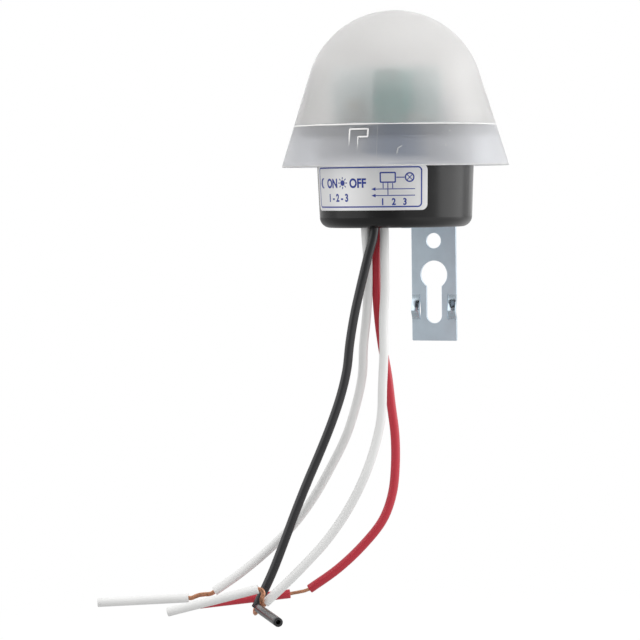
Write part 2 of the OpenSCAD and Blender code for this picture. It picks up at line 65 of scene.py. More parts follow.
# Routes of the leads in millimetres, in a frame on the dome's axis that is turned LEAD_TURN from the front
LEAD_TURN = math.radians(20)
ROUTES = {
    "black": [
        (-6.5, -14, 14), (-6.5, -14, 4), (-8.5, -15, -4), (-10.5, -15.5, -12), (-12.5, -15.5, -20.5),
        (-14, -15, -29), (-15, -14.5, -37), (-17, -14, -45), (-20, -13.5, -53.5), (-23.5, -12.5, -62),
        (-27, -12, -70), (-30.5, -11.5, -78.5), (-34, -11, -87.5), (-38, -10.5, -97.5), (-43, -10, -107.9),
    ],
    "red": [
        (-5.5, -9.5, 14), (-5.5, -9.5, 4), (-6, -9.5, -4.5), (-6, -9.5, -13), (-5.5, -9, -21.5),
        (-4.5, -9, -30), (-3, -9, -39), (-2, -9, -48), (-1, -8.5, -57), (-1, -8, -66),
        (-2, -7.5, -74.5), (-5, -7, -82.5), (-11, -6.5, -90), (-18.5, -6, -97), (-27, -5.5, -103),
    ],
    "left_white": [
        (-9, -12, 14), (-9, -12, 4), (-8.5, -11.5, -4), (-8.5, -11, -12.5), (-9, -10.5, -21),
        (-10, -10, -30), (-10.5, -9.5, -39), (-12.5, -9, -48), (-15.5, -8.5, -57), (-20, -7.5, -66),
        (-25.5, -6.5, -75.5), (-31.5, -6, -83.5), (-39, -5.5, -91), (-47.5, -5, -98), (-55.5, -5, -103.5),
    ],
    "right_white": [
        (-3.5, -12, 14), (-3.5, -12, 4), (-3.5, -12.5, -4.5), (-3.5, -12.5, -13.5), (-4, -12.5, -22.5),
        (-4, -13, -32), (-4.5, -13, -41.5), (-5, -13, -51), (-7, -13, -60), (-10.5, -13.5, -69.5),
        (-15.5, -13.5, -79), (-21.5, -13.5, -87.5), (-27.5, -14, -94), (-33.5, -14, -100), (-40, -14, -106),
    ],
}
# Bare strands past each lead's end, tips of the cut sleeves on them, and where the leads leave the base
BARE = {
    "black": [
        (-43, -10, -107.9), (-43.2, -10.5, -108.8), (-43.1, -11.9, -109.3), (-42.8, -13.6, -108.8),
        (-42, -16, -107.5), (-41.7, -17.2, -107.2),
    ],
    "red": [
        (-27, -5.5, -103), (-28.6, -5.4, -103.6), (-30.4, -5.2, -104), (-32, -5, -104.3), (-33, -5, -104.5),
    ],
    "left_white": [
        (-55.5, -5, -103.5), (-56.8, -5, -104.3), (-60, -5, -104.6), (-62.4, -5, -105.5), (-63.5, -5, -105.5),
    ],
    "right_white": [
        (-40, -14, -106), (-40.4, -14.5, -106.5), (-40.9, -15.4, -105.9), (-40.9, -15.9, -104.5),
        (-40.5, -16, -103), (-40.9, -15.9, -101.9), (-42, -15.7, -101.6),
    ],
}
TIPS = {
    "black": (-35, -43.5, -107.5),
    "red": (-60, -4.5, -107.5),
    "left_white": (-90.5, -6, -106.5),
    "right_white": (-69, -13.5, -108.5),
}


def linear(code):
    """Linear colour of an sRGB hex value."""
    parts = [int(code[i:i + 2], 16) / 255 for i in (0, 2, 4)]
    return tuple(c / 12.92 if c <= 0.04045 else ((c + 0.055) / 1.055) ** 2.4 for c in parts) + (1.0,)


def length_prop(name, description, default):
    """A length in metres that a user may change."""
    return FloatProperty(name=name, description=description, default=default, min=0.0, unit="LENGTH")


def colour_prop(name, description, code):
    """A colour that a user may change, from its sRGB hex value."""
    return FloatVectorProperty(
        name=name, description=description, default=linear(code), size=4, min=0.0, max=1.0, subtype="COLOR")


class SwitchSizes(bpy.types.PropertyGroup):
    """Sizes of the switch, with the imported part's own as defaults"""
    rim_d: length_prop("Rim diameter", "Outside diameter of the dome at its rim", DOME_HIGH.x - DOME_LOW.x)
    dome_h: length_prop("Dome height", "From the rim to the crown", DOME_HIGH.z - DOME_LOW.z)
    crown_r: length_prop("Crown radius", "Outside radius of the round crown", 26.5 * MM)
    dome_wall: length_prop("Dome wall", "Wall above the ledge", 2 * MM)
    skirt_wall: length_prop("Skirt wall", "Wall below the ledge", 1.2 * MM)
    ledge_h: length_prop("Ledge height", "Height of the inside ledge above the rim", 12.4 * MM)
    base_d: length_prop("Base diameter", "Diameter of the base at the dome's rim", 46.8 * MM)
    label_w: length_prop("Label width", "Width of the label round the base", 41 * MM)
    label_h: length_prop("Label height", "Height of the label", 13.4 * MM)
    label_t: length_prop("Label thickness", "Thickness of the foil", 0.15 * MM)
    strip_w: length_prop("Strip width", "Width of the bracket's strip", STRIP_HIGH.x - STRIP_LOW.x)
    strip_t: length_prop("Strip thickness", "Thickness of the bracket's strip", 1 * MM)
    hole_d: length_prop("Hole diameter", "Round screw hole", 4.8 * MM)
    key_head_d: length_prop("Keyhole head", "Diameter of the keyhole's head", 8.7 * MM)
    key_slot_w: length_prop("Keyhole slot", "Width of the keyhole's slot", 5 * MM)
    tab_bow: length_prop("Tab bow", "How far a spring tab bows out of the strip", 1.3 * MM)
    lead_d: length_prop("Lead diameter", "Outside diameter of a lead", 2.7 * MM)
    core_d: length_prop("Strand bundle", "Diameter of the bare strands together", 1.3 * MM)
    strand_d: length_prop("Strand diameter", "Diameter of one copper strand", 0.25 * MM)


class SwitchColours(bpy.types.PropertyGroup):
    """Colours of the switch's materials"""
    dome: colour_prop("Dome", "Frosted polypropylene", "f2f1f0")
    skirt: colour_prop("Skirt", "Frosted polypropylene where it is thin", "ebecef")
    straight: colour_prop("Skirt, straight", "Thin polypropylene that one looks straight through", "a0aec4")
    base: colour_prop("Base", "Black ABS", "0b0b0c")
    foil: colour_prop("Label foil", "Aluminised film", "efefef")
    ink: colour_prop("Label ink", "Screen-printed blue", "2a3f98")
    zinc: colour_prop("Zinc", "Zinc plating, blue passivated", "d2e1ec")
    black_pvc: colour_prop("Black lead", "Black PVC", "2e2e30")
    red_pvc: colour_prop("Red lead", "Red PVC", "c23140")
    white_pvc: colour_prop("White leads", "White PVC", "ebebea")
    copper: colour_prop("Copper", "Drawn copper strands", "ecb391")


class StudioSettings(bpy.types.PropertyGroup):
    """Camera and light of the stage"""
    azimuth: FloatProperty(
        name="Azimuth", description="Turn of the camera from the front", default=math.radians(20),
        subtype="ANGLE")
    distance: length_prop("Distance", "From the camera to the dome's axis", 0.9)
    eye_z: length_prop("Eye height", "Height of the camera over the screw hole", 17.1 * MM)
    lens: FloatProperty(name="Lens", description="Focal length", default=169.1, unit="CAMERA")
    roll: FloatProperty(
        name="Roll", description="Turn of the camera about its view", default=math.radians(-0.7),
        subtype="ANGLE")
    floor_z: FloatProperty(name="Floor", description="Height of the floor", default=-0.17, unit="LENGTH")


# A noise pattern lies mostly between these two values
NOISE_RANGE = {"From Min": 0.3, "From Max": 0.7}


def add_node(tree, kind, inputs=None, **settings):
    """Adds a node, sets its properties, and fills its inputs with values, outputs or other nodes.

    A node stands for its first output.
    """
    node = tree.nodes.new(kind)
    for name, value in settings.items():
        setattr(node, name, value)
    for key, value in (inputs or {}).items():
        if isinstance(value, bpy.types.Node):
            value = value.outputs[0]
        if isinstance(value, bpy.types.NodeSocket):
            tree.links.new(value, node.inputs[key])
        else:
            node.inputs[key].default_value = value
    return node


def start_material(name):
    """An empty material, its node tree, and the place on the object that its patterns follow."""
    material = bpy.data.materials.new(name)
    material.use_nodes = True
    tree = material.node_tree
    tree.nodes.clear()
    return material, tree, add_node(tree, "ShaderNodeTexCoord").outputs["Object"]


def moulded_plastic(name, colour, roughness, grain, depth, spread=0.06):
    """A moulded, dipped or extruded plastic with a fine uneven skin.

    The eye gets a soft sheen that wanders a little: bumps are grain metres wide and depth metres high,
    and roughness and tone change over stretches that are fourteen grains wide.
    """
    material, tree, place = start_material(name)
    skin = add_node(tree, "ShaderNodeTexNoise", {"Vector": place, "Scale": 1 / grain, "Detail": 1.0})
    broad = add_node(tree, "ShaderNodeTexNoise", {"Vector": place, "Scale": 1 / (grain * 14), "Detail": 2.0})
    sheen = add_node(tree, "ShaderNodeMapRange", {
        "Value": broad, **NOISE_RANGE, "To Min": roughness - spread, "To Max": roughness + spread})
    tone = add_node(tree, "ShaderNodeMapRange", {
        "Value": broad, **NOISE_RANGE, "To Min": 0.94, "To Max": 1.04})
    shade = add_node(tree, "ShaderNodeVectorMath", {0: colour[:3], "Scale": tone}, operation="SCALE")
    bump = add_node(tree, "ShaderNodeBump", {"Height": skin, "Distance": depth, "Strength": 0.5})
    plastic = add_node(tree, "ShaderNodeBsdfPrincipled", {
        "Base Color": shade, "Roughness": sheen, "IOR": 1.5, "Normal": bump})
    add_node(tree, "ShaderNodeOutputMaterial", {"Surface": plastic})
    return material


def frosted_polypropylene(name, colour, clear_share, straight=None, crown_share=None):
    """Polypropylene, moulded in a blasted mould: milky, so what is behind it shows as a pale, soft shadow.

    The thinner the wall, the larger the clear_share of light that goes straight through it. A thin wall
    has its colour at a slant, and the colour straight where one looks straight through it: paler at a slant
    is partly the haze of a thin wall and partly painted light from the sides. Over the label the skirt is
    painted milkier and paler, as painted light from the label. Towards the crown the share goes over to
    crown_share and the colour turns a little greyer, which is painted shade.
    """
    material, tree, place = start_material(name)
    # Blasted skin: soft pits about 0.5 mm wide, and flow shades about 12 mm wide
    pits = add_node(tree, "ShaderNodeTexNoise", {"Vector": place, "Scale": 1 / (0.5 * MM), "Detail": 2.0})
    flow = add_node(tree, "ShaderNodeTexNoise", {"Vector": place, "Scale": 1 / (12 * MM), "Detail": 1.0})
    sheen = add_node(tree, "ShaderNodeMapRange", {
        "Value": flow, **NOISE_RANGE, "To Min": 0.28, "To Max": 0.31})
    bump = add_node(tree, "ShaderNodeBump", {"Height": pits, "Distance": 0.01 * MM, "Strength": 0.3})
    if straight:
        # Painted light: the skirt over the label is made milkier and paler, as if the label threw its light
        # on it, up to about 4 mm from the rim
        reach = Vector((1 / (24 * MM), 1 / (60 * MM), 1 / (4 * MM)))
        painted_light_centre = Vector((3 * MM, AXIS_Y - 33.4 * MM, RIM_Z))
        near = add_node(tree, "ShaderNodeMapping", {
            "Vector": place, "Scale": reach, "Location": -painted_light_centre * reach})
        patch = add_node(tree, "ShaderNodeTexGradient", {"Vector": near}, gradient_type="SPHERICAL")
        glow = patch.outputs["Fac"]
        clear_share = add_node(tree, "ShaderNodeMapRange", {
            "Value": glow, "To Min": clear_share, "To Max": clear_share - 0.17})
        # Paler at a slant, and darker and bluer looking straight through: partly a thin wall's haze, partly
        # painted light from the sides
        layer = add_node(tree, "ShaderNodeLayerWeight", {"Blend": 0.5})
        slant = add_node(tree, "ShaderNodeMapRange", {
            "Value": layer.outputs["Facing"], "From Min": 0.005, "From Max": 0.1})
        pale = add_node(tree, "ShaderNodeMath", {0: slant, 1: glow}, operation="ADD", use_clamp=True)
        colour = add_node(tree, "ShaderNodeMix", {
            "Factor": pale, "A": straight, "B": colour}, data_type="RGBA").outputs[2]
    if crown_share:
        # Milkier and greyer over these heights above the screw hole; the grey is painted shade on the crown
        height = add_node(tree, "ShaderNodeSeparateXYZ", {"Vector": place}).outputs["Z"]
        clear_share = add_node(tree, "ShaderNodeMapRange", {
            "Value": height, "From Min": 43 * MM, "From Max": 52 * MM,
            "To Min": clear_share, "To Max": crown_share})
        tone = add_node(tree, "ShaderNodeMapRange", {
            "Value": height, "From Min": 46 * MM, "From Max": 56 * MM,
            "To Min": 1.0, "To Max": 0.96})
        colour = add_node(tree, "ShaderNodeVectorMath", {0: colour[:3], "Scale": tone}, operation="SCALE")
    plastic = add_node(tree, "ShaderNodeBsdfPrincipled", {
        "Base Color": colour, "Roughness": sheen, "IOR": 1.49, "Normal": bump,
        "Transmission Weight": clear_share, "Subsurface Weight": 1.0,
        "Subsurface Radius": (1.0, 1.0, 1.0), "Subsurface Scale": 1.2 * MM})
    # Lamps shine through the wall onto the board
    clear = add_node(tree, "ShaderNodeBsdfTransparent", {"Color": (0.8, 0.8, 0.8, 1)})
    rays = add_node(tree, "ShaderNodeLightPath")
    mix = add_node(tree, "ShaderNodeMixShader", {0: rays.outputs["Is Shadow Ray"], 1: plastic, 2: clear})
    add_node(tree, "ShaderNodeOutputMaterial", {"Surface": mix})
    return material


def milky_polypropylene(name, colour, clear_share):
    """Polypropylene where it is thick or scuffed: paler than the wall, with less of a view through."""
    material, tree, place = start_material(name)
    # Uneven along its length, in stretches about 4 mm long
    haze = add_node(tree, "ShaderNodeTexNoise", {"Vector": place, "Scale": 1 / (4 * MM), "Detail": 2.0})
    tone = add_node(tree, "ShaderNodeMapRange", {
        "Value": haze, **NOISE_RANGE, "To Min": 0.92, "To Max": 1.08})
    shade = add_node(tree, "ShaderNodeVectorMath", {0: colour[:3], "Scale": tone}, operation="SCALE")
    plastic = add_node(tree, "ShaderNodeBsdfPrincipled", {
        "Base Color": shade, "Roughness": 0.4, "IOR": 1.49, "Transmission Weight": clear_share})
    add_node(tree, "ShaderNodeOutputMaterial", {"Surface": plastic})
    return material


def zinc_plate(name, colour, smooth, rough):
    """Mild steel strip, rolled and zinc plated: bluish, with a fine lengthwise grain and a cloudy sheen."""
    material, tree, place = start_material(name)
    # Rolling grain, lines about 0.25 mm apart and 12 mm long, drawn this coarse so that it shows
    stretch = add_node(tree, "ShaderNodeMapping", {
        "Vector": place, "Scale": (1 / (0.25 * MM), 1 / (0.25 * MM), 1 / (12 * MM))})
    grain = add_node(tree, "ShaderNodeTexNoise", {"Vector": stretch, "Scale": 1.0, "Detail": 2.0})
    # Plating clouds about 5 mm wide
    cloud = add_node(tree, "ShaderNodeTexNoise", {"Vector": place, "Scale": 1 / (5 * MM), "Detail": 3.0})
    tint = add_node(tree, "ShaderNodeMapRange", {
        "Value": cloud, **NOISE_RANGE, "To Min": 0.95, "To Max": 1.04})
    shade = add_node(tree, "ShaderNodeVectorMath", {0: colour[:3], "Scale": tint}, operation="SCALE")
    dull = add_node(tree, "ShaderNodeMapRange", {
        "Value": grain, "From Min": 0.25, "From Max": 0.75, "To Min": smooth, "To Max": rough})
    bump = add_node(tree, "ShaderNodeBump", {"Height": grain, "Distance": 0.01 * MM, "Strength": 0.4})
    steel = add_node(tree, "ShaderNodeBsdfPrincipled", {
        "Base Color": shade, "Metallic": 1.0, "Roughness": dull, "Normal": bump})
    add_node(tree, "ShaderNodeOutputMaterial", {"Surface": steel})
    return material


def aluminised_film(colour):
    """Polyester film, aluminised and matt coated: a silvery sheet that brightens towards the light."""
    material, tree, place = start_material("aluminised_polyester_film")
    # Slow waves about 6 mm wide where the film was pressed on by hand
    wave = add_node(tree, "ShaderNodeTexNoise", {"Vector": place, "Scale": 1 / (6 * MM), "Detail": 2.0})
    bump = add_node(tree, "ShaderNodeBump", {"Height": wave, "Distance": 0.05 * MM, "Strength": 0.15})
    dull = add_node(tree, "ShaderNodeMapRange", {
        "Value": wave, **NOISE_RANGE, "To Min": 0.4, "To Max": 0.5})
    film = add_node(tree, "ShaderNodeBsdfPrincipled", {
        "Base Color": colour, "Metallic": 0.5, "Roughness": dull, "Normal": bump})
    add_node(tree, "ShaderNodeOutputMaterial", {"Surface": film})
    return material


def drawn_copper(colour):
    """Copper, drawn to fine wire: warm and bright, with brown oxide in patches along the strands."""
    material, tree, place = start_material("copper_drawn_strands")
    # Oxide patches about 1.2 mm wide
    patch = add_node(tree, "ShaderNodeTexNoise", {"Vector": place, "Scale": 1 / (1.2 * MM), "Detail": 3.0})
    spread = add_node(tree, "ShaderNodeMapRange", {
        "Value": patch, "From Min": 0.45, "From Max": 0.75, "To Min": 0.0, "To Max": 0.6})
    oxide = add_node(tree, "ShaderNodeMix", {
        "Factor": spread, "A": colour, "B": linear("8a5a48")}, data_type="RGBA")
    dull = add_node(tree, "ShaderNodeMapRange", {
        "Value": patch, **NOISE_RANGE, "To Min": 0.22, "To Max": 0.45})
    wire = add_node(tree, "ShaderNodeBsdfPrincipled", {
        "Base Color": oxide.outputs[2], "Metallic": 1.0, "Roughness": dull})
    add_node(tree, "ShaderNodeOutputMaterial", {"Surface": wire})
    return material


def bright_metal(name, colour, ripple, smooth, rough):
    """A drawn or dipped metal: pale and shiny, with soft ripples that are ripple metres long."""
    material, tree, place = start_material(name)
    waves = add_node(tree, "ShaderNodeTexNoise", {"Vector": place, "Scale": 1 / ripple, "Detail": 2.0})
    dull = add_node(tree, "ShaderNodeMapRange", {
        "Value": waves, **NOISE_RANGE, "To Min": smooth, "To Max": rough})
    bump = add_node(tree, "ShaderNodeBump", {"Height": waves, "Distance": 0.02 * MM, "Strength": 0.4})
    metal = add_node(tree, "ShaderNodeBsdfPrincipled", {
        "Base Color": colour, "Metallic": 1.0, "Roughness": dull, "Normal": bump})
    add_node(tree, "ShaderNodeOutputMaterial", {"Surface": metal})
    return material


def tinted_glass(colour):
    """Soft glass, drawn as a sleeve over a diode: clear amber that is darker where it is thick."""
    material, tree, place = start_material("amber_glass_drawn")
    # Draw lines about 0.6 mm apart
    lines = add_node(tree, "ShaderNodeTexNoise", {"Vector": place, "Scale": 1 / (0.6 * MM), "Detail": 1.0})
    gloss = add_node(tree, "ShaderNodeMapRange", {
        "Value": lines, **NOISE_RANGE, "To Min": 0.06, "To Max": 0.16})
    glass = add_node(tree, "ShaderNodeBsdfPrincipled", {
        "Base Color": colour, "Roughness": gloss, "IOR": 1.52, "Transmission Weight": 0.7})
    add_node(tree, "ShaderNodeOutputMaterial", {"Surface": glass})
    return material


def shade_by_angle(mesh, crease):
    """Smooth shading, with edges sharper than crease degrees left crisp."""
    mesh.shade_smooth()
    mesh.set_sharp_from_angle(angle=math.radians(crease))


def add_object(name, data):
    """A new object in the scene."""
    thing = bpy.data.objects.new(name, data)
    bpy.context.scene.collection.objects.link(thing)
    return thing


def make_piece(name, mesh, material, body, crease=40):
    """An object for a finished mesh in metres, which moves with a body."""
    mesh.name = name
    mesh.materials.clear()
    mesh.materials.append(material)
    shade_by_angle(mesh, crease)
    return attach(add_object(name, mesh), body)


def dress_node(name, material):
    """Gives a carried-over node one material."""
    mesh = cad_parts[name].data
    mesh.materials.clear()
    mesh.materials.append(material)


@contextmanager
def reworked(mesh):
    """The mesh in a form that can be edited, which is written back at the end."""
    work = bmesh.new()
    work.from_mesh(mesh)
    yield work
    work.to_mesh(mesh)
    work.free()


def mesh_from(points, faces):
    """A closed mesh with its faces turned outwards."""
    mesh = bpy.data.meshes.new("mesh")
    mesh.from_pydata(points, [], faces)
    with reworked(mesh) as work:
        bmesh.ops.recalc_face_normals(work, faces=work.faces[:])
    return mesh


def rounded(corners, steps=4):
    """Closed outline of corners (x, y, radius), each rounded to its radius."""
    outline = []
    for i, (x, y, radius) in enumerate(corners):
        corner = Vector((x, y))
        if not radius:
            outline.append((x, y))
            continue
        before = (Vector(corners[i - 1][:2]) - corner).normalized()
        after = (Vector(corners[(i + 1) % len(corners)][:2]) - corner).normalized()
        half = before.angle(after) / 2
        centre = corner + (before + after).normalized() * (radius / math.sin(half))
        start = corner + before * (radius / math.tan(half)) - centre
        end = corner + after * (radius / math.tan(half)) - centre
        turn = math.atan2(start.x * end.y - start.y * end.x, start.dot(end))
        for k in range(steps + 1):
            a = turn * k / steps
            outline.append((
                centre.x + start.x * math.cos(a) - start.y * math.sin(a),
                centre.y + start.x * math.sin(a) + start.y * math.cos(a)))
    return outline


def revolve(profile, steps, middle):
    """Mesh of a closed profile of (radius, height) turned round the upright line through middle."""
    points, rings, faces = [], [], []
    for r, z in profile:
        count = steps if r > 1e-7 else 1
        rings.append((len(points), count))
        for k in range(count):
            a = 2 * math.pi * k / steps
            points.append((middle[0] + r * math.sin(a), middle[1] - r * math.cos(a), z))
    for (a, a_count), (b, b_count) in zip(rings, rings[1:] + rings[:1]):
        if a_count == b_count == 1:
            continue
        for k in range(steps):
            j = (k + 1) % steps
            loop = (a + k % a_count, a + j % a_count, b + j % b_count, b + k % b_count)
            faces.append(tuple(dict.fromkeys(loop)))
    return mesh_from(points, faces)


def sector(turn, angle, r_in, r_out, low, high, steps, r_top=None):
    """Mesh of a sector of a ring round the dome's axis, its middle turned from the front by turn radians.

    Where r_top is given, the outside leans from r_out at the bottom to r_top.
    """
    points, faces = [], []
    r_top = r_top or r_out
    for k in range(steps + 1):
        a = turn + angle * (k / steps - 0.5)
        for r, z in ((r_in, low), (r_out, low), (r_top, high), (r_in, high)):
            points.append((r * math.sin(a), AXIS_Y - r * math.cos(a), z))
    for k in range(steps):
        for j in range(4):
            a, b = 4 * k + j, 4 * k + (j + 1) % 4
            faces.append((a, b, b + 4, a + 4))
    faces.append((0, 1, 2, 3))
    faces.append(tuple(4 * steps + j for j in (3, 2, 1, 0)))
    return mesh_from(points, faces)


def cut_away(mesh, cutters):
    """The mesh with each cutter's mesh taken out of it."""
    block = add_object("block", mesh)
    tools = [add_object("tool", cutter) for cutter in cutters]
    for tool in tools:
        cut = block.modifiers.new("cut", "BOOLEAN")
        cut.operation = "DIFFERENCE"
        cut.solver = "EXACT"
        cut.object = tool
    result = built_mesh(block)
    for spare in [block, *tools]:
        bpy.data.objects.remove(spare)
    return result


def built_mesh(thing):
    """Mesh of an object as its curve or its modifiers make it."""
    graph = bpy.context.evaluated_depsgraph_get()
    return bpy.data.meshes.new_from_object(thing.evaluated_get(graph))


def flat_sheet(outlines, thickness, edge, bevel_steps=1):
    """Mesh of a sheet in the XY plane, in millimetres, cut to closed outlines, with softened edges.

    An outline inside another is a hole in it.
    """
    curve = bpy.data.curves.new("sheet", "CURVE")
    curve.dimensions = "2D"
    curve.fill_mode = "BOTH"
    curve.extrude = thickness / 2 - edge
    curve.bevel_depth = edge
    curve.bevel_resolution = bevel_steps
    curve.offset = -edge
    for outline in outlines:
        spline = curve.splines.new("POLY")
        spline.points.add(len(outline) - 1)
        for point, (x, y) in zip(spline.points, outline):
            point.co = (x, y, 0, 1)
        spline.use_cyclic_u = True
    return mesh_of_curve(curve)


def mesh_of_curve(curve):
    """Welded mesh of a curve or of words."""
    holder = add_object("holder", curve)
    mesh = built_mesh(holder)
    bpy.data.objects.remove(holder)
    with reworked(mesh) as work:
        bmesh.ops.remove_doubles(work, verts=work.verts[:], dist=1e-4)
    return mesh


def slice_mesh(mesh, axis, cuts):
    """Adds edges across the mesh where the axis has each value of cuts, so that it can bend there."""
    normal = Vector((axis == 0, axis == 1, axis == 2))
    with reworked(mesh) as work:
        for cut in cuts:
            bmesh.ops.bisect_plane(
                work, geom=work.verts[:] + work.edges[:] + work.faces[:], dist=1e-5,
                plane_co=normal * cut, plane_no=normal)


def move_points(mesh, place):
    """Puts each point of the mesh where place sends it, and turns the faces outwards."""
    with reworked(mesh) as work:
        for point in work.verts:
            point.co = place(point.co)
        bmesh.ops.recalc_face_normals(work, faces=work.faces[:])


def circle(x, y, radius, steps=48):
    """Closed round outline."""
    return [(x + radius * math.cos(2 * math.pi * k / steps), y + radius * math.sin(2 * math.pi * k / steps))
            for k in range(steps)]


def lead_point(p):
    """Point of the leads' frame, in millimetres, as a point of the part's frame in metres."""
    c, s = math.cos(LEAD_TURN), math.sin(LEAD_TURN)
    return Vector((p[0] * c - p[1] * s, p[0] * s + p[1] * c + AXIS_Y / MM, p[2])) * MM


def smooth_path(points, steps):
    """Points of a smooth curve through the given ones, steps to each stretch."""
    ends = [2 * points[0] - points[1], *points, 2 * points[-1] - points[-2]]
    path = []
    for a, b, c, d in zip(ends, ends[1:], ends[2:], ends[3:]):
        for k in range(steps):
            t = k / steps
            path.append(0.5 * (2 * b + (c - a) * t + (2 * a - 5 * b + 4 * c - d) * t * t
                               + (3 * b - a - 3 * c + d) * t * t * t))
    return path + [points[-1]]


def path_frames(path):
    """Direction and two sides at each point of a path, turning no more than the path does."""
    frames = []
    side = None
    for i, point in enumerate(path):
        along = (path[min(i + 1, len(path) - 1)] - path[max(i - 1, 0)]).normalized()
        if side is None:
            side = along.orthogonal()
        side = (side - along * side.dot(along)).normalized()
        frames.append((along, side.copy(), along.cross(side)))
    return frames


def sweep(stations, sides):
    """Mesh of a tube through stations of (centre, side, other side, radius), closed at both ends."""
    points, faces = [], []
    for centre, u, v, r in stations:
        for k in range(sides):
            a = 2 * math.pi * k / sides
            points.append(centre + u * (r * math.cos(a)) + v * (r * math.sin(a)))
    for i in range(len(stations) - 1):
        for k in range(sides):
            a, b = i * sides + k, i * sides + (k + 1) % sides
            faces.append((a, b, b + sides, a + sides))
    faces.append(tuple(reversed(range(sides))))
    faces.append(tuple(range((len(stations) - 1) * sides, len(stations) * sides)))
    return points, faces


def joined(parts):
    """One mesh of several (points, faces) shells."""
    points, faces = [], []
    for more_points, more_faces in parts:
        start = len(points)
        points.extend(more_points)
        faces.extend(tuple(i + start for i in face) for face in more_faces)
    return mesh_from(points, faces)


def path_length(path):
    """Length of a path of points."""
    return sum((b - a).length for a, b in zip(path, path[1:]))


def light_tent(toward, right):
    """A white light tent all round, which the camera sees as plain white."""
    world = bpy.data.worlds.new("studio_white")
    world.use_nodes = True
    tree = world.node_tree
    tree.nodes.clear()
    rays = add_node(tree, "ShaderNodeLightPath")
    # The tent is open, and so reflects darker, on the camera's side
    way = add_node(tree, "ShaderNodeTexCoord").outputs["Generated"]
    facing = add_node(tree, "ShaderNodeVectorMath", {0: way, 1: toward}, operation="DOT_PRODUCT")
    front = add_node(tree, "ShaderNodeMapRange", {
        "Value": rays.outputs["Is Glossy Ray"], "To Min": 0.58, "To Max": 0.15})
    level = add_node(tree, "ShaderNodeMapRange", {
        "Value": facing.outputs["Value"], "From Min": 0.4, "From Max": 1.0, "To Min": 1.0, "To Max": front})
    # It is lit from the right
    aside = add_node(tree, "ShaderNodeVectorMath", {0: way, 1: right}, operation="DOT_PRODUCT")
    lit = add_node(tree, "ShaderNodeMapRange", {
        "Value": aside.outputs["Value"], "From Min": -1.0, "From Max": 1.0, "To Min": 0.83, "To Max": 1.1})
    strength = add_node(tree, "ShaderNodeMath", {0: level, 1: lit}, operation="MULTIPLY")
    tent = add_node(tree, "ShaderNodeBackground", {"Color": (1, 1, 1, 1), "Strength": strength})
    white = add_node(tree, "ShaderNodeBackground", {"Color": (1, 1, 1, 1), "Strength": 1.0})
    mix = add_node(tree, "ShaderNodeMixShader", {0: rays.outputs["Is Camera Ray"], 1: tent, 2: white})
    add_node(tree, "ShaderNodeOutputWorld", {"Surface": mix})
    return world


def matt_paper(right):
    """Paper, matt and white: near the switch it takes a faint shadow, and further out it is plain white."""
    material, tree, place = start_material("floor_paper_matt")
    rays = add_node(tree, "ShaderNodeLightPath")
    paper = add_node(tree, "ShaderNodeBsdfDiffuse", {"Color": linear("f4f4f4")})
    glow = add_node(tree, "ShaderNodeEmission", {"Color": (1, 1, 1, 1), "Strength": 1.0})
    # Painted light: the switch hangs clear of the paper, so little light comes back up from it; for every ray
    # but the camera's the paper is painted grey, with a painted pool of light towards the right and darker
    # grey in reflections
    aside = add_node(tree, "ShaderNodeVectorMath", {0: place, 1: right}, operation="DOT_PRODUCT")
    least = add_node(tree, "ShaderNodeMapRange", {
        "Value": rays.outputs["Is Glossy Ray"], "To Min": 0.45, "To Max": 0.0})
    lit = add_node(tree, "ShaderNodeMapRange", {
        "Value": aside.outputs["Value"], "From Min": 0.0, "From Max": 0.2, "To Min": least})
    grey = add_node(tree, "ShaderNodeMix", {
        "Factor": lit, "A": linear("a0a0a0"), "B": linear("dcdcdc")}, data_type="RGBA")
    painted_light_paper = add_node(tree, "ShaderNodeBsdfDiffuse", {"Color": grey.outputs[2]})
    seen = add_node(tree, "ShaderNodeMixShader", {0: rays.outputs["Is Camera Ray"], 1: painted_light_paper, 2: paper})
    away = add_node(tree, "ShaderNodeVectorMath", {0: place}, operation="LENGTH")
    plain = add_node(tree, "ShaderNodeMapRange", {
        "Value": away.outputs["Value"], "From Min": 0.15, "From Max": 0.45, "To Min": 0.6, "To Max": 1.0})
    share = add_node(tree, "ShaderNodeMath", {
        0: rays.outputs["Is Camera Ray"], 1: plain}, operation="MULTIPLY")
    mix = add_node(tree, "ShaderNodeMixShader", {0: share, 1: seen, 2: glow})
    add_node(tree, "ShaderNodeOutputMaterial", {"Surface": mix})
    # The glow is for the eye alone and lights nothing
    material.cycles.emission_sampling = "NONE"
    return material


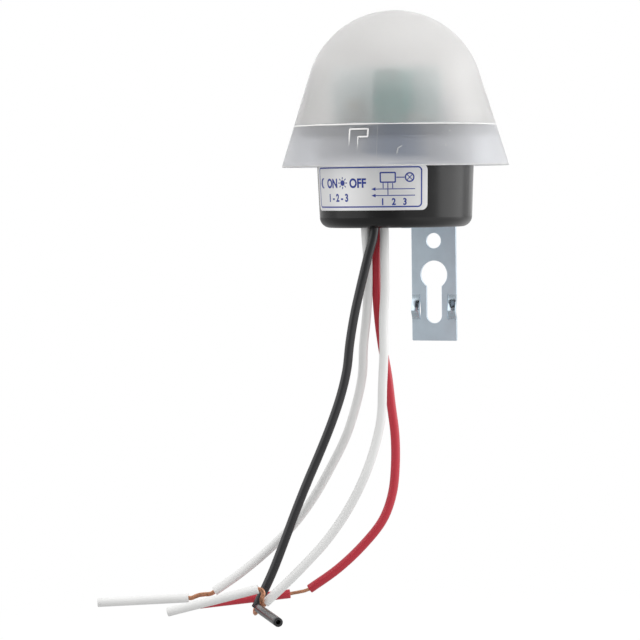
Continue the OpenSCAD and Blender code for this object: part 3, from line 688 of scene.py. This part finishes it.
class SWITCH_OT_stage(bpy.types.Operator):
    """Sets up the camera, the soft light and the pale floor"""
    bl_idname = "photocell.stage"
    bl_label = "Stage"

    def execute(self, context):
        scene = context.scene
        studio = scene.switch_studio
        scene.view_settings.view_transform = "Standard"
        turn = studio.azimuth
        toward = Vector((math.sin(turn), -math.cos(turn), 0))
        right = Vector((math.cos(turn), math.sin(turn), 0))
        eye_point = Vector((0, AXIS_Y, studio.eye_z))

        camera = add_object("camera", bpy.data.cameras.new("camera"))
        camera.data.lens = studio.lens
        camera.data.sensor_width = 36
        camera.location = eye_point + toward * studio.distance
        # The switch stands high and right of the frame's middle
        aim = eye_point - right * (23.1 * MM) - Vector((0, 0, 39.9 * MM))
        look = (aim - camera.location).to_track_quat("-Z", "Y").to_matrix()
        camera.rotation_euler = (look @ Matrix.Rotation(studio.roll, 3, "Z")).to_euler()
        scene.camera = camera
        scene.world = light_tent(toward, right)

        # Soft boxes: name, bearing from the camera in degrees, height, distance, size, watts
        for name, bearing, height, distance, size, watts in (
            ("right_box", 92, 0.10, 0.9, 0.9, 3.1),
            ("left_box", -72, 0.10, 0.9, 1.0, 1.8),
            ("top_box", 20, 0.85, 0.25, 0.9, 3.2),
        ):
            lamp = bpy.data.lights.new(name, "AREA")
            lamp.size = size
            lamp.energy = watts
            box = add_object(name, lamp)
            bearing = math.radians(bearing)
            box.location = eye_point + (toward * math.cos(bearing) + right * math.sin(bearing)) * distance
            box.location.z += height
            box.rotation_euler = (eye_point - box.location).to_track_quat("-Z", "Y").to_euler()
            box.visible_camera = False
            box.visible_glossy = name != "top_box"

        reach = 6.0
        corners = [(x * reach, y * reach, 0) for x, y in ((-1, -1), (1, -1), (1, 1), (-1, 1))]
        sheet = mesh_from(corners, [(0, 1, 2, 3)])
        sheet.materials.append(matt_paper(right))
        floor = add_object("floor", sheet)
        floor.location.z = studio.floor_z
        return {"FINISHED"}


class SWITCH_OT_leads(bpy.types.Operator):
    """Makes the four leads, their bare strands and the cut lengths of sleeve on them"""
    bl_idname = "photocell.leads"
    bl_label = "Leads"

    def execute(self, context):
        sizes, colours = context.scene.switch_sizes, context.scene.switch_colours
        radius, bore = sizes.lead_d / 2, sizes.core_d / 2 + 0.04 * MM
        # PVC, extruded over the strands: smooth and a little waxy
        pvc = {
            shade: moulded_plastic(f"{shade}_pvc_extruded", colour, roughness, 2.5 * MM, 0.004 * MM, 0.04)
            for shade, colour, roughness in (
                ("black", colours.black_pvc, 0.2), ("red", colours.red_pvc, 0.33),
                ("white", colours.white_pvc, 0.36))
        }
        copper = drawn_copper(colours.copper)
        for name, route in ROUTES.items():
            sleeve = pvc[name.split("_")[-1]]
            path = smooth_path([lead_point(p) for p in route], 6)
            frames = path_frames(path)
            stations = [(p, u, v, radius) for p, (_, u, v) in zip(path, frames)]
            stations += cut_end(path[-1], *frames[-1], radius, bore)
            lead = make_piece(f"{name}_lead_sleeve", mesh_from(*sweep(stations, 24)), sleeve, "housing")
            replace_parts(lead, f"{name}_lead")

            bare = smooth_path([lead_point(p) for p in BARE[name]], 6)
            tip = lead_point(TIPS[name])
            start = bare[-1]
            along = (tip - start).normalized()
            bare = [path[-3], *bare, start + along * (1.5 * MM)]
            # The red lead's strands are pulled tight, so they lie in a thinner bundle
            bundle_r = sizes.core_d / 2 * (0.78 if name == "red" else 1)
            strands = joined(strand_bundle(bare, bundle_r, sizes.strand_d / 2))
            core = make_piece(f"{name}_strands", strands, copper, "housing", crease=60)
            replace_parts(core, f"{name}_core")

            side = along.orthogonal().normalized()
            other = along.cross(side)
            count = 12
            stations = list(reversed(cut_end(start, -along, side, other, radius, bore)))
            for k in range(count + 1):
                stations.append((start.lerp(tip, k / count), side, other, radius))
            stations += cut_end(tip, along, side, other, radius, bore, 6 * MM)
            end = make_piece(f"{name}_cut_sleeve", mesh_from(*sweep(stations, 24)), sleeve, "housing")
            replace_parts(end, f"{name}_end_sleeve")

            round(path_length(path), 3)
        return {"FINISHED"}


def cut_end(centre, along, side, other, radius, bore, depth=1.5 * MM):
    """Stations for a sleeve's cut end: a softened lip and an open bore."""
    lip = 0.12 * MM
    return [
        (centre + along * (0.05 * MM), side, other, radius - 0.03 * MM),
        (centre + along * (0.1 * MM), side, other, radius - lip),
        (centre + along * (0.1 * MM), side, other, bore + lip / 2),
        (centre + along * (0.04 * MM), side, other, bore),
        (centre - along * depth, side, other, bore),
    ]


def strand_bundle(path, bundle_r, r):
    """Shells of copper strands of radius r, twisted round a path."""
    frames = path_frames(path)
    along = [0.0]
    for a, b in zip(path, path[1:]):
        along.append(along[-1] + (b - a).length)
    lay = 18 * MM
    shells = []
    for ring_r, count, start in ((0.0, 1, 0.0), (bundle_r - 3.1 * r, 5, 0.3), (bundle_r - r, 12, 0.0)):
        for k in range(count):
            stations = []
            for p, (_, u, v), s in zip(path, frames, along):
                a = start + 2 * math.pi * (k / count + s / lay)
                swell = 1 + 0.08 * math.sin(9 * k + 1400 * s)
                centre = p + (u * math.cos(a) + v * math.sin(a)) * (ring_r * swell)
                stations.append((centre, u, v, r))
            shells.append(sweep(stations, 8))
    return shells


class SWITCH_OT_dome(bpy.types.Operator):
    """Makes the frosted dome with its ledge and bayonet slots"""
    bl_idname = "photocell.dome"
    bl_label = "Dome cover"

    def execute(self, context):
        sizes = context.scene.switch_sizes
        rim_r, crown_r, height = sizes.rim_d / 2, sizes.crown_r, sizes.dome_h
        crown_up = height - crown_r
        slope = math.acos(crown_r / math.hypot(rim_r, crown_up)) - math.atan2(crown_up, rim_r)

        def side_r(z, inset):
            return rim_r - inset / math.cos(slope) - z * math.tan(slope)

        def crown(inset, steps):
            r = crown_r - inset
            return [(r * math.cos(a), crown_up + r * math.sin(a)) for a in
                    [slope + (math.pi / 2 - slope) * k / steps for k in range(steps)]] + [(0, crown_up + r)]

        ledge = sizes.ledge_h
        outside = rounded([
            (side_r(0, sizes.skirt_wall), 0, 0.3 * MM), (rim_r, 0, 0.35 * MM), (side_r(ledge, 0), ledge, 0)])
        # Up to these heights the skirt lets through these shares: milky at its rim, clearest at the flange.
        # The milkier, and so paler, rim is painted light, for light that comes in under the rim
        bands = {1.3 * MM: 0.69, ledge - 4.6 * MM: 0.72, ledge - 3.6 * MM: 0.77, ledge: 0.82}
        levels = sorted(bands)[:-1]
        inside = rounded([
            (side_r(ledge + 4 * MM, sizes.dome_wall), ledge + 4 * MM, 0),
            (side_r(ledge, sizes.dome_wall), ledge, 0.2 * MM),
            (side_r(ledge, sizes.skirt_wall), ledge, 0.15 * MM)])
        inside += [(side_r(z, sizes.skirt_wall), z) for z in reversed(levels)]
        side = [(side_r(z, 0), z) for z in levels]
        profile = outside[:-1] + side + outside[-1:] + crown(0, 22)
        profile += list(reversed(crown(sizes.dome_wall, 22))) + inside
        mesh = revolve([(r, z + RIM_Z) for r, z in profile], 160, (0, AXIS_Y))

        # Three bayonet grooves for the base's lugs, each with an entry channel, under a thin outside skin
        lug_w, lug_h, lug_gap, twist = 2.2 * MM, 2.2 * MM, 0.2 * MM, math.radians(6)
        skin, lug_up = 0.4 * MM, 0.5 * MM
        flange_h, flange_gap, ledge_gap = 3.2 * MM, 0.35 * MM, 0.15 * MM
        flange_r = side_r(ledge, sizes.skirt_wall) - flange_gap
        lug_low = ledge - ledge_gap - flange_h + lug_up
        lug_r = side_r(lug_low, skin) - lug_gap
        low = lug_low - lug_gap + RIM_Z
        high = low + lug_h + 2 * lug_gap
        channel = 2 * math.asin((lug_w / 2 + lug_gap) / flange_r)
        cutters = []
        for k in range(3):
            turn = twist / 2 + 2 * math.pi * k / 3
            cutters.append(sector(
                turn - twist / 2, channel + twist, flange_r - MM, side_r(low - RIM_Z, skin),
                low, high, 12, side_r(high - RIM_Z, skin)))
            cutters.append(sector(
                turn - twist, channel, flange_r - MM, lug_r + lug_gap, RIM_Z - MM, low + lug_gap / 2, 8))
        mesh = cut_away(mesh, cutters)
        colours = context.scene.switch_colours
        crown_wall = frosted_polypropylene(
            "polypropylene_moulded_frosted", colours.dome, 0.855, crown_share=0.68)
        dome = make_piece("dome_shell", mesh, crown_wall, "dome", crease=30)
        for k, clear_share in enumerate(bands.values()):
            mesh.materials.append(frosted_polypropylene(
                f"polypropylene_moulded_thin_{k + 1}", colours.skirt, clear_share, colours.straight))
        for face in mesh.polygons:
            z = face.center.z - RIM_Z
            face.material_index = next((k + 1 for k, level in enumerate(bands) if z < level), 0)
        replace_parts(dome, "dome_cover")

        # Where the wall turns a corner it is thick and milky, and shows as a pale line
        def surface(angle, z):
            r = side_r(z, 0)
            a = math.radians(angle)
            return Vector((r * math.sin(a), AXIS_Y - r * math.cos(a), z + RIM_Z))

        # A line goes through marks of (degrees from the front, millimetres over the rim)
        def pale_line(marks, width, ends=(1.0, 1.0)):
            path = []
            for (a, z), (b, y) in zip(marks, marks[1:]):
                stretch = (surface(b, y * MM) - surface(a, z * MM)).length
                count = max(2, int(stretch / (0.3 * MM)))
                shares = [k / count for k in range(count)]
                path += [surface(a + (b - a) * t, (z + (y - z) * t) * MM) for t in shares]
            path.append(surface(marks[-1][0], marks[-1][1] * MM))
            stations = []
            for i, (point, (along, _, _)) in enumerate(zip(path, path_frames(path))):
                out = Vector((point.x, point.y - AXIS_Y, 0)).normalized()
                out = (out * math.cos(slope) + Vector((0, 0, math.sin(slope)))).normalized()
                share = i / (len(path) - 1)
                half = width / 2 * min(1, ends[0] + share * 5, ends[1] + (1 - share) * 5)
                stations.append((point, along.cross(out).normalized(), out * 0.25, half))
            return sweep(stations, 10)

        # The slot shows through the wall a little narrower and lower than the groove is
        edge = math.degrees(channel + twist) / 2 * 17 / 18
        door = math.degrees(channel) - edge
        top, sill = (high - RIM_Z) / MM - 1.2, (low - RIM_Z) / MM - 0.85
        slot = [(0.7 - edge, 5.6), (-edge, top), (edge, top), (edge, sill), (door, sill), (door + 0.5, 5.2)]
        shells = [
            pale_line(slot, 0.5 * MM, (0.05, 0.05)),
            pale_line([(4 * k - 108, ledge / MM - 0.2) for k in range(31)], 0.45 * MM, (0.6, 0.6)),
            pale_line([(4 * k + 12, ledge / MM - 0.2) for k in range(61)], 0.32 * MM, (0.6, 0.6)),
            pale_line([(50.8, 9.9), (51.6, 10.4)], 0.3 * MM, (0.3, 0.3)),
            pale_line([(47.0, 5.4), (47.4, 6.4)], 0.25 * MM, (0.3, 0.3)),
        ]
        milky = milky_polypropylene("frosted_polypropylene_thick", colours.dome, 0.0)
        lines = make_piece("dome_edge_lines", joined(shells), milky, "dome", crease=80)
        # The rim's edge, and small handling marks: a witness line down the skirt, a few scuffs and specks
        scuffs = [
            pale_line([(4 * k, 0.25) for k in range(91)], 0.35 * MM),
            pale_line([(10.5, 0.6), (10.5, 12)], 0.09 * MM),
            pale_line([(20.7, 3.4), (21.4, 5.1), (23.6, 5.8)], 0.36 * MM, (0.2, 0.2)),
            pale_line([(0.0, 23.4), (0.5, 23.8)], 0.3 * MM, (0.3, 0.3)),
            pale_line([(1.6, 21.8), (2.0, 22.0)], 0.25 * MM, (0.3, 0.3)),
            pale_line([(1.0, 17.3), (1.4, 17.6)], 0.25 * MM, (0.3, 0.3)),
        ]
        milky = milky_polypropylene("frosted_polypropylene_scuffed", colours.dome, 0.55)
        marks = make_piece("dome_scuffs", joined(scuffs), milky, "dome", crease=80)
        return {"FINISHED"}


class SWITCH_OT_base(bpy.types.Operator):
    """Finishes the black base cup"""
    bl_idname = "photocell.base"
    bl_label = "Base housing"

    def execute(self, context):
        # ABS, moulded with a fine satin skin
        black = moulded_plastic(
            "black_abs_moulded", context.scene.switch_colours.base, 0.24, 0.35 * MM, 0.008 * MM, 0.03)
        dress_node("base_housing", black)
        return {"FINISHED"}


class SWITCH_OT_label(bpy.types.Operator):
    """Makes the foil label on the base and its printing"""
    bl_idname = "photocell.label"
    bl_label = "Label"

    def execute(self, context):
        sizes, colours = context.scene.switch_sizes, context.scene.switch_colours
        w, h = sizes.label_w / MM, sizes.label_h / MM
        base_r = sizes.base_d / 2
        middle = math.radians(-6.6)
        # The top edge is tucked up behind the dome's rim
        tuck, glue = 0.5 * MM, 0.02 * MM
        low = RIM_Z + tuck - sizes.label_h
        draft = math.tan(math.radians(2.4))

        def wrap(lift):
            def place(p):
                z = low + p.y * MM
                r = base_r + (z - RIM_Z) * draft + glue + (p.z + lift) * MM
                a = middle + p.x * MM / base_r
                return Vector((r * math.sin(a), AXIS_Y - r * math.cos(a), z))
            return place

        film = aluminised_film(colours.foil)
        ink = moulded_plastic("blue_screen_ink", colours.ink, 0.45, 0.3 * MM, 0.004 * MM)
        thick = sizes.label_t / MM
        corner = 1.8
        outline = rounded([
            (-w / 2, 0, corner), (w / 2, 0, corner), (w / 2, h, corner), (-w / 2, h, corner)], 8)
        mesh = flat_sheet([outline], thick, 0.04)
        slice_mesh(mesh, 0, [-w / 2 + 0.5 * k for k in range(1, int(w / 0.5) + 1)])
        move_points(mesh, wrap(thick / 2))
        label = make_piece("label_film", mesh, film, "housing", crease=12)
        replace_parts(label, "rating_label")

        ink_t = 0.04
        lift = thick + ink_t / 2 - 0.005
        prints = {}
        for name, outlines in label_print(w, h).items():
            mesh = flat_sheet(outlines, ink_t, 0.01)
            left, right = min(v.co.x for v in mesh.vertices), max(v.co.x for v in mesh.vertices)
            cuts = int((right - left) / 0.8)
            slice_mesh(mesh, 0, [left + (right - left) * (k + 0.5) / max(cuts, 1) for k in range(cuts)])
            prints[name] = mesh
        # Letters are a little narrower and bolder than the font draws them
        narrow, bold = 0.86, 0.035
        for name, (words, x, y, size) in label_words().items():
            letters = bpy.data.curves.new(name, "FONT")
            letters.body = words
            letters.size = size
            letters.offset = bold * size
            letters.extrude = ink_t / 2
            mesh = mesh_of_curve(letters)
            move_points(mesh, lambda p: Vector((p.x * narrow + x, p.y + y, p.z)))
            prints[name] = mesh
        for name, mesh in prints.items():
            move_points(mesh, wrap(lift))
            make_piece(f"print_{name}", mesh, ink, "housing", crease=50)
        return {"FINISHED"}


def label_print(w, h):
    """Closed outlines in millimetres of the label's lines and signs, by name."""
    line = 0.4

    def box(x0, y0, x1, y1, r=0.0):
        return rounded([(x0, y0, r), (x1, y0, r), (x1, y1, r), (x0, y1, r)], 6)

    def hollow_box(x0, y0, x1, y1, r, inner_r):
        return [box(x0, y0, x1, y1, r), box(x0 + line, y0 + line, x1 - line, y1 - line, inner_r)]

    def turned(outline, middle, angle):
        c, s = math.cos(angle), math.sin(angle)
        return [(middle[0] + c * x - s * y, middle[1] + s * x + c * y) for x, y in outline]

    def arc(x, y, r, start, end, steps=24):
        return [(x + r * math.cos(a), y + r * math.sin(a)) for a in
                [math.radians(start + (end - start) * k / steps) for k in range(steps + 1)]]

    signs = {"border": hollow_box(-w / 2 + 1.5, 0.85, w / 2 - 1.7, h - 0.62, 1.3, 1.3 - line)}
    # Sun and moon beside the words at the left
    sun, lamp = (-6.2, 8.1), (15.0, 9.6)
    signs["sun"] = [circle(*sun, 0.85, 32)]
    for k in range(8):
        signs[f"ray_{k}"] = [turned(box(1.1, -0.15, 1.75, 0.15), sun, math.pi * k / 4)]
    signs["moon"] = [arc(-16.0, 8.1, 1.5, 60, 300) + arc(-15.25, 8.1, 1.3, 276, 84)[1:-1]]
    # Plain wiring drawing at the right: the control, the lamp and the two lines
    signs["control"] = hollow_box(6.2, 8.0, 11.0, 11.2, 0.4, 0.2)
    signs["lamp"] = [circle(*lamp, 1.45), circle(*lamp, 1.45 - line)]
    for k, angle in enumerate((math.pi / 4, -math.pi / 4)):
        signs[f"lamp_bar_{k}"] = [turned(box(-1.2, -0.12, 1.2, 0.12), lamp, angle)]
    signs["line_top"] = [box(11.1, 9.45, 13.5, 9.75)]
    signs["line_mid"] = [box(4.8, 6.1, 16.6, 6.35)]
    signs["line_low"] = [box(4.8, 4.2, 16.6, 4.45)]
    for k, x in enumerate((7.2, 8.6, 10.0)):
        signs[f"leg_{k}"] = [box(x - 0.13, (6.4, 4.5, 6.4)[k], x + 0.13, 7.95)]
    signs["arrow_mid"] = [[(3.6, 6.22), (4.9, 5.7), (4.9, 6.75)]]
    signs["arrow_low"] = [[(3.6, 4.32), (4.9, 3.8), (4.9, 4.85)]]
    return signs


def label_words():
    """Words on the label: text, place in millimetres and size."""
    return {
        "on": ("ON", -13.4, 6.75, 3.7),
        "off": ("OFF", -3.6, 6.75, 3.7),
        "one": ("1", 6.4, 1.6, 2.7),
        "two": ("2", 9.7, 1.6, 2.7),
        "three": ("3", 13.0, 1.6, 2.7),
        "numbers": ("1 - 2 - 3", -12.8, 2.7, 3.1),
    }


class SWITCH_OT_bracket(bpy.types.Operator):
    """Makes the zinc-plated strip with its holes, bend and spring tabs, and its rivet"""
    bl_idname = "photocell.bracket"
    bl_label = "Wall bracket"

    def execute(self, context):
        sizes = context.scene.switch_sizes
        w, t = sizes.strip_w / MM, sizes.strip_t / MM
        bottom = STRIP_LOW.z / MM
        leg_front = STRIP_LOW.y / MM
        bend_mid = 1 + t / 2
        leg_z = BASE_Z / MM + t / 2
        bend_z = leg_z - bend_mid
        leg_start = bend_z + bend_mid * math.pi / 2
        flat_top = leg_start + (-t / 2 - bend_mid - leg_front)
        tab_w, tab_top, tab_h, slit = 2.6, -16.7, 7.7, 0.3
        key_r, slot_r, key_z, slot_z = sizes.key_head_d / MM / 2, sizes.key_slot_w / MM / 2, -10.5, -23.1
        neck = math.asin(slot_r / key_r)
        keyhole = [(key_r * math.sin(a), key_z - key_r * math.cos(a)) for a in
                   [neck + (2 * math.pi - 2 * neck) * k / 48 for k in range(49)]]
        keyhole += [(-slot_r * math.cos(a), slot_z - slot_r * math.sin(a)) for a in
                    [math.pi * k / 24 for k in range(25)]]
        rivet_y = AXIS_Y + 11 * MM
        rivet_s = leg_start + (-t / 2 - bend_mid - rivet_y / MM)
        outlines = [
            rounded([
                (-w / 2, bottom, 0.4), (w / 2, bottom, 0.4),
                (w / 2, flat_top, 0.3), (-w / 2, flat_top, 0.3)], 6),
            circle(0, 0, sizes.hole_d / MM / 2),
            keyhole,
            circle(0, rivet_s, 1.6, 32),
        ]
        for side in (-1, 1):
            inner = side * (w / 2 - tab_w)
            outlines.append([
                (inner, tab_top), (inner - side * slit / 3, tab_top),
                (inner - side * slit, tab_top - tab_h * 0.7),
                (inner - side * slit / 3, tab_top - tab_h), (inner, tab_top - tab_h)])
        mesh = flat_sheet(outlines, t, 0.12, 2)
        slice_mesh(mesh, 0, [side * (w / 2 - tab_w * k / 6) for side in (-1, 1) for k in range(1, 7)])
        slice_mesh(mesh, 1, [tab_top - tab_h * k / 28 for k in range(29)])
        slice_mesh(mesh, 1, [bend_z + (leg_start - bend_z) * k / 10 for k in range(11)])

        def bow(x, s):
            across, along = (w / 2 - abs(x)) / tab_w, (tab_top - s) / tab_h
            if across > 1.004 or not 0 < along < 1:
                return 0.0
            # Each tab bulges most along its middle, and rises from its foot to its crest
            foot, crest = 0.1, 0.64
            rise = max(0, along - foot) / (crest - foot) if along < crest else (1 - along) / (1 - crest)
            return sizes.tab_bow / MM * rise * rise * (3 - 2 * rise) * (1 - 0.25 * (2 * across - 1) ** 2)

        def place(p):
            depth = -t / 2 - bow(p.x, p.y)
            if p.y <= bend_z:
                return Vector((p.x, depth - p.z, p.y)) * MM
            if p.y >= leg_start:
                return Vector((p.x, -t / 2 - bend_mid - (p.y - leg_start), leg_z - p.z)) * MM
            a = (p.y - bend_z) / bend_mid
            r = bend_mid - p.z
            return Vector((p.x, -t / 2 - bend_mid + r * math.cos(a), bend_z + r * math.sin(a))) * MM

        move_points(mesh, place)
        colour = context.scene.switch_colours.zinc
        zinc = zinc_plate("zinc_plated_steel_rolled", colour, 0.32, 0.46)
        strip = make_piece("bracket_strip", mesh, zinc, "housing", crease=12)
        # The press tool has burnished the tabs
        mesh.materials.append(zinc_plate("zinc_plated_steel_pressed", colour, 0.15, 0.24))
        for face in mesh.polygons:
            at = face.center / MM
            face.material_index = int(abs(at.x) > w / 2 - tab_w - 0.05 and tab_top - tab_h < at.z < tab_top)
        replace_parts(strip, "wall_bracket")

        head = rounded([
            (0, BASE_Z - 0.5 * MM, 0), (2.2 * MM, BASE_Z - 0.5 * MM, 0.5 * MM), (2.6 * MM, BASE_Z, 0),
            (1.5 * MM, BASE_Z, 0), (1.5 * MM, BASE_Z + 3 * MM, 0), (2.2 * MM, BASE_Z + 3 * MM, 0.2 * MM),
            (1.9 * MM, BASE_Z + 3.8 * MM, 0.3 * MM), (0, BASE_Z + 3.8 * MM, 0)])
        rivet = make_piece("rivet", revolve(head, 48, (0, rivet_y)), zinc, "housing", crease=40)
        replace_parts(rivet, "bracket_rivet")
        dress_node("rivet_washer", zinc)
        return {"FINISHED"}


class SWITCH_OT_board(bpy.types.Operator):
    """Finishes the circuit board and the parts on it"""
    bl_idname = "photocell.board"
    bl_label = "Board and parts"

    def execute(self, context):
        skin = 0.01 * MM
        # Plastics by node: name, colour, roughness and the width of the skin's bumps in millimetres
        # Painted light: these tones are paler than such parts are, so that what shows of them through the
        # frosted dome, a soft shade, is as light as it should be
        plastics = {
            "circuit_board": ("glass_laminate_screened", "e0f2f4", 0.4, 0.6),
            "relay": ("black_pbt_moulded", "23272c", 0.4, 0.4),
            "film_capacitor": ("green_epoxy_dipped", "28928c", 0.25, 0.8),
            "electrolytic_capacitor": ("blue_pvc_shrunk", "3f5f78", 0.3, 0.6),
            "photoresistor": ("ceramic_lacquered", "cfe2e4", 0.35, 0.4),
            "rectifier_diodes": ("black_epoxy_moulded", "47474a", 0.5, 0.3),
            "transistor": ("grey_epoxy_moulded", "b4c8c6", 0.5, 0.3),
            "resistors": ("tan_lacquer_dipped", "c9b48a", 0.35, 0.5),
        }
        finishes = {
            node: moulded_plastic(name, linear(code), roughness, grain * MM, skin)
            for node, (name, code, roughness, grain) in plastics.items()
        }
        finishes["zener_diode"] = tinted_glass(linear("c9a878"))
        finishes["lead_tails"] = bright_metal("copper_wire_tinned", linear("c8cacb"), 0.8 * MM, 0.22, 0.4)
        for node, material in finishes.items():
            dress_node(node, material)

        # Axial parts: half the body's length, then the start, end and colour of each painted band
        wire = finishes["lead_tails"]
        axial = {
            "rectifier_diodes": (2.61, [(1.2, 2.1, "d9dadb")]),
            "zener_diode": (1.97, [(1.0, 1.6, "26262a")]),
            "resistors": (3.13, [
                (-2.3, -1.7, "7a3f24"), (-1.0, -0.4, "1e1e1e"), (0.3, 0.9, "b5362c"), (1.7, 2.3, "b8964a")]),
        }
        for node, (half, bands) in axial.items():
            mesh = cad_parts[node].data.copy()
            middle = sum(corner.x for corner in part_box(node)) / 2
            slice_mesh(mesh, 0, [middle + x * MM for start, end, _ in bands for x in (start, end)])
            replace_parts(make_piece(f"{node}_banded", mesh, finishes[node], "housing"), node)
            mesh.materials.append(wire)
            for _, _, code in bands:
                paint = moulded_plastic(f"paint_rolled_{code}", linear(code), 0.4, 0.4 * MM, skin)
                mesh.materials.append(paint)
            for face in mesh.polygons:
                x = (face.center.x - middle) / MM
                if abs(x) > half:
                    face.material_index = 1
                for k, (start, end, _) in enumerate(bands):
                    if start < x < end:
                        face.material_index = k + 2

        # Standing parts: the depth of the body before its wires
        for node, depth in {"photoresistor": 2.09, "transistor": 4.81}.items():
            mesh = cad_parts[node].data
            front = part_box(node)[0].y
            mesh.materials.append(wire)
            for face in mesh.polygons:
                face.material_index = int(face.center.y > front + depth * MM)

        # The can's end is bare inside the rolled edge of its sleeve
        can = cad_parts["electrolytic_capacitor"].data
        can.materials.append(bright_metal("aluminium_drawn_can", linear("d4d6d8"), 1.5 * MM, 0.25, 0.4))
        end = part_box("electrolytic_capacitor")[1].y
        for face in can.polygons:
            face.material_index = int(face.center.y > end - 0.1 * MM)
        return {"FINISHED"}


OPERATORS = (
    SWITCH_OT_stage, SWITCH_OT_leads, SWITCH_OT_dome, SWITCH_OT_base, SWITCH_OT_label, SWITCH_OT_bracket,
    SWITCH_OT_board,
)


class SWITCH_PT_panel(bpy.types.Panel):
    """Lists the pieces of the switch"""
    bl_idname = "SWITCH_PT_panel"
    bl_label = "Photocell Switch"
    bl_space_type = "VIEW_3D"
    bl_region_type = "UI"
    bl_category = "Photocell"

    def draw(self, context):
        for operator in OPERATORS:
            self.layout.operator(operator.bl_idname)


CLASSES = (SwitchSizes, SwitchColours, StudioSettings, *OPERATORS, SWITCH_PT_panel)


def register():
    """Adds the classes and the scene's settings."""
    for item in CLASSES:
        bpy.utils.register_class(item)
    bpy.types.Scene.switch_sizes = PointerProperty(type=SwitchSizes)
    bpy.types.Scene.switch_colours = PointerProperty(type=SwitchColours)
    bpy.types.Scene.switch_studio = PointerProperty(type=StudioSettings)


def unregister():
    """Takes the settings and the classes away."""
    del bpy.types.Scene.switch_studio
    del bpy.types.Scene.switch_colours
    del bpy.types.Scene.switch_sizes
    for item in reversed(CLASSES):
        bpy.utils.unregister_class(item)


def main():
    """Builds every piece in order."""
    register()
    bpy.ops.photocell.stage()
    bpy.ops.photocell.leads()
    bpy.ops.photocell.dome()
    bpy.ops.photocell.base()
    bpy.ops.photocell.label()
    bpy.ops.photocell.bracket()
    bpy.ops.photocell.board()


if __name__ == "__main__":
    main()
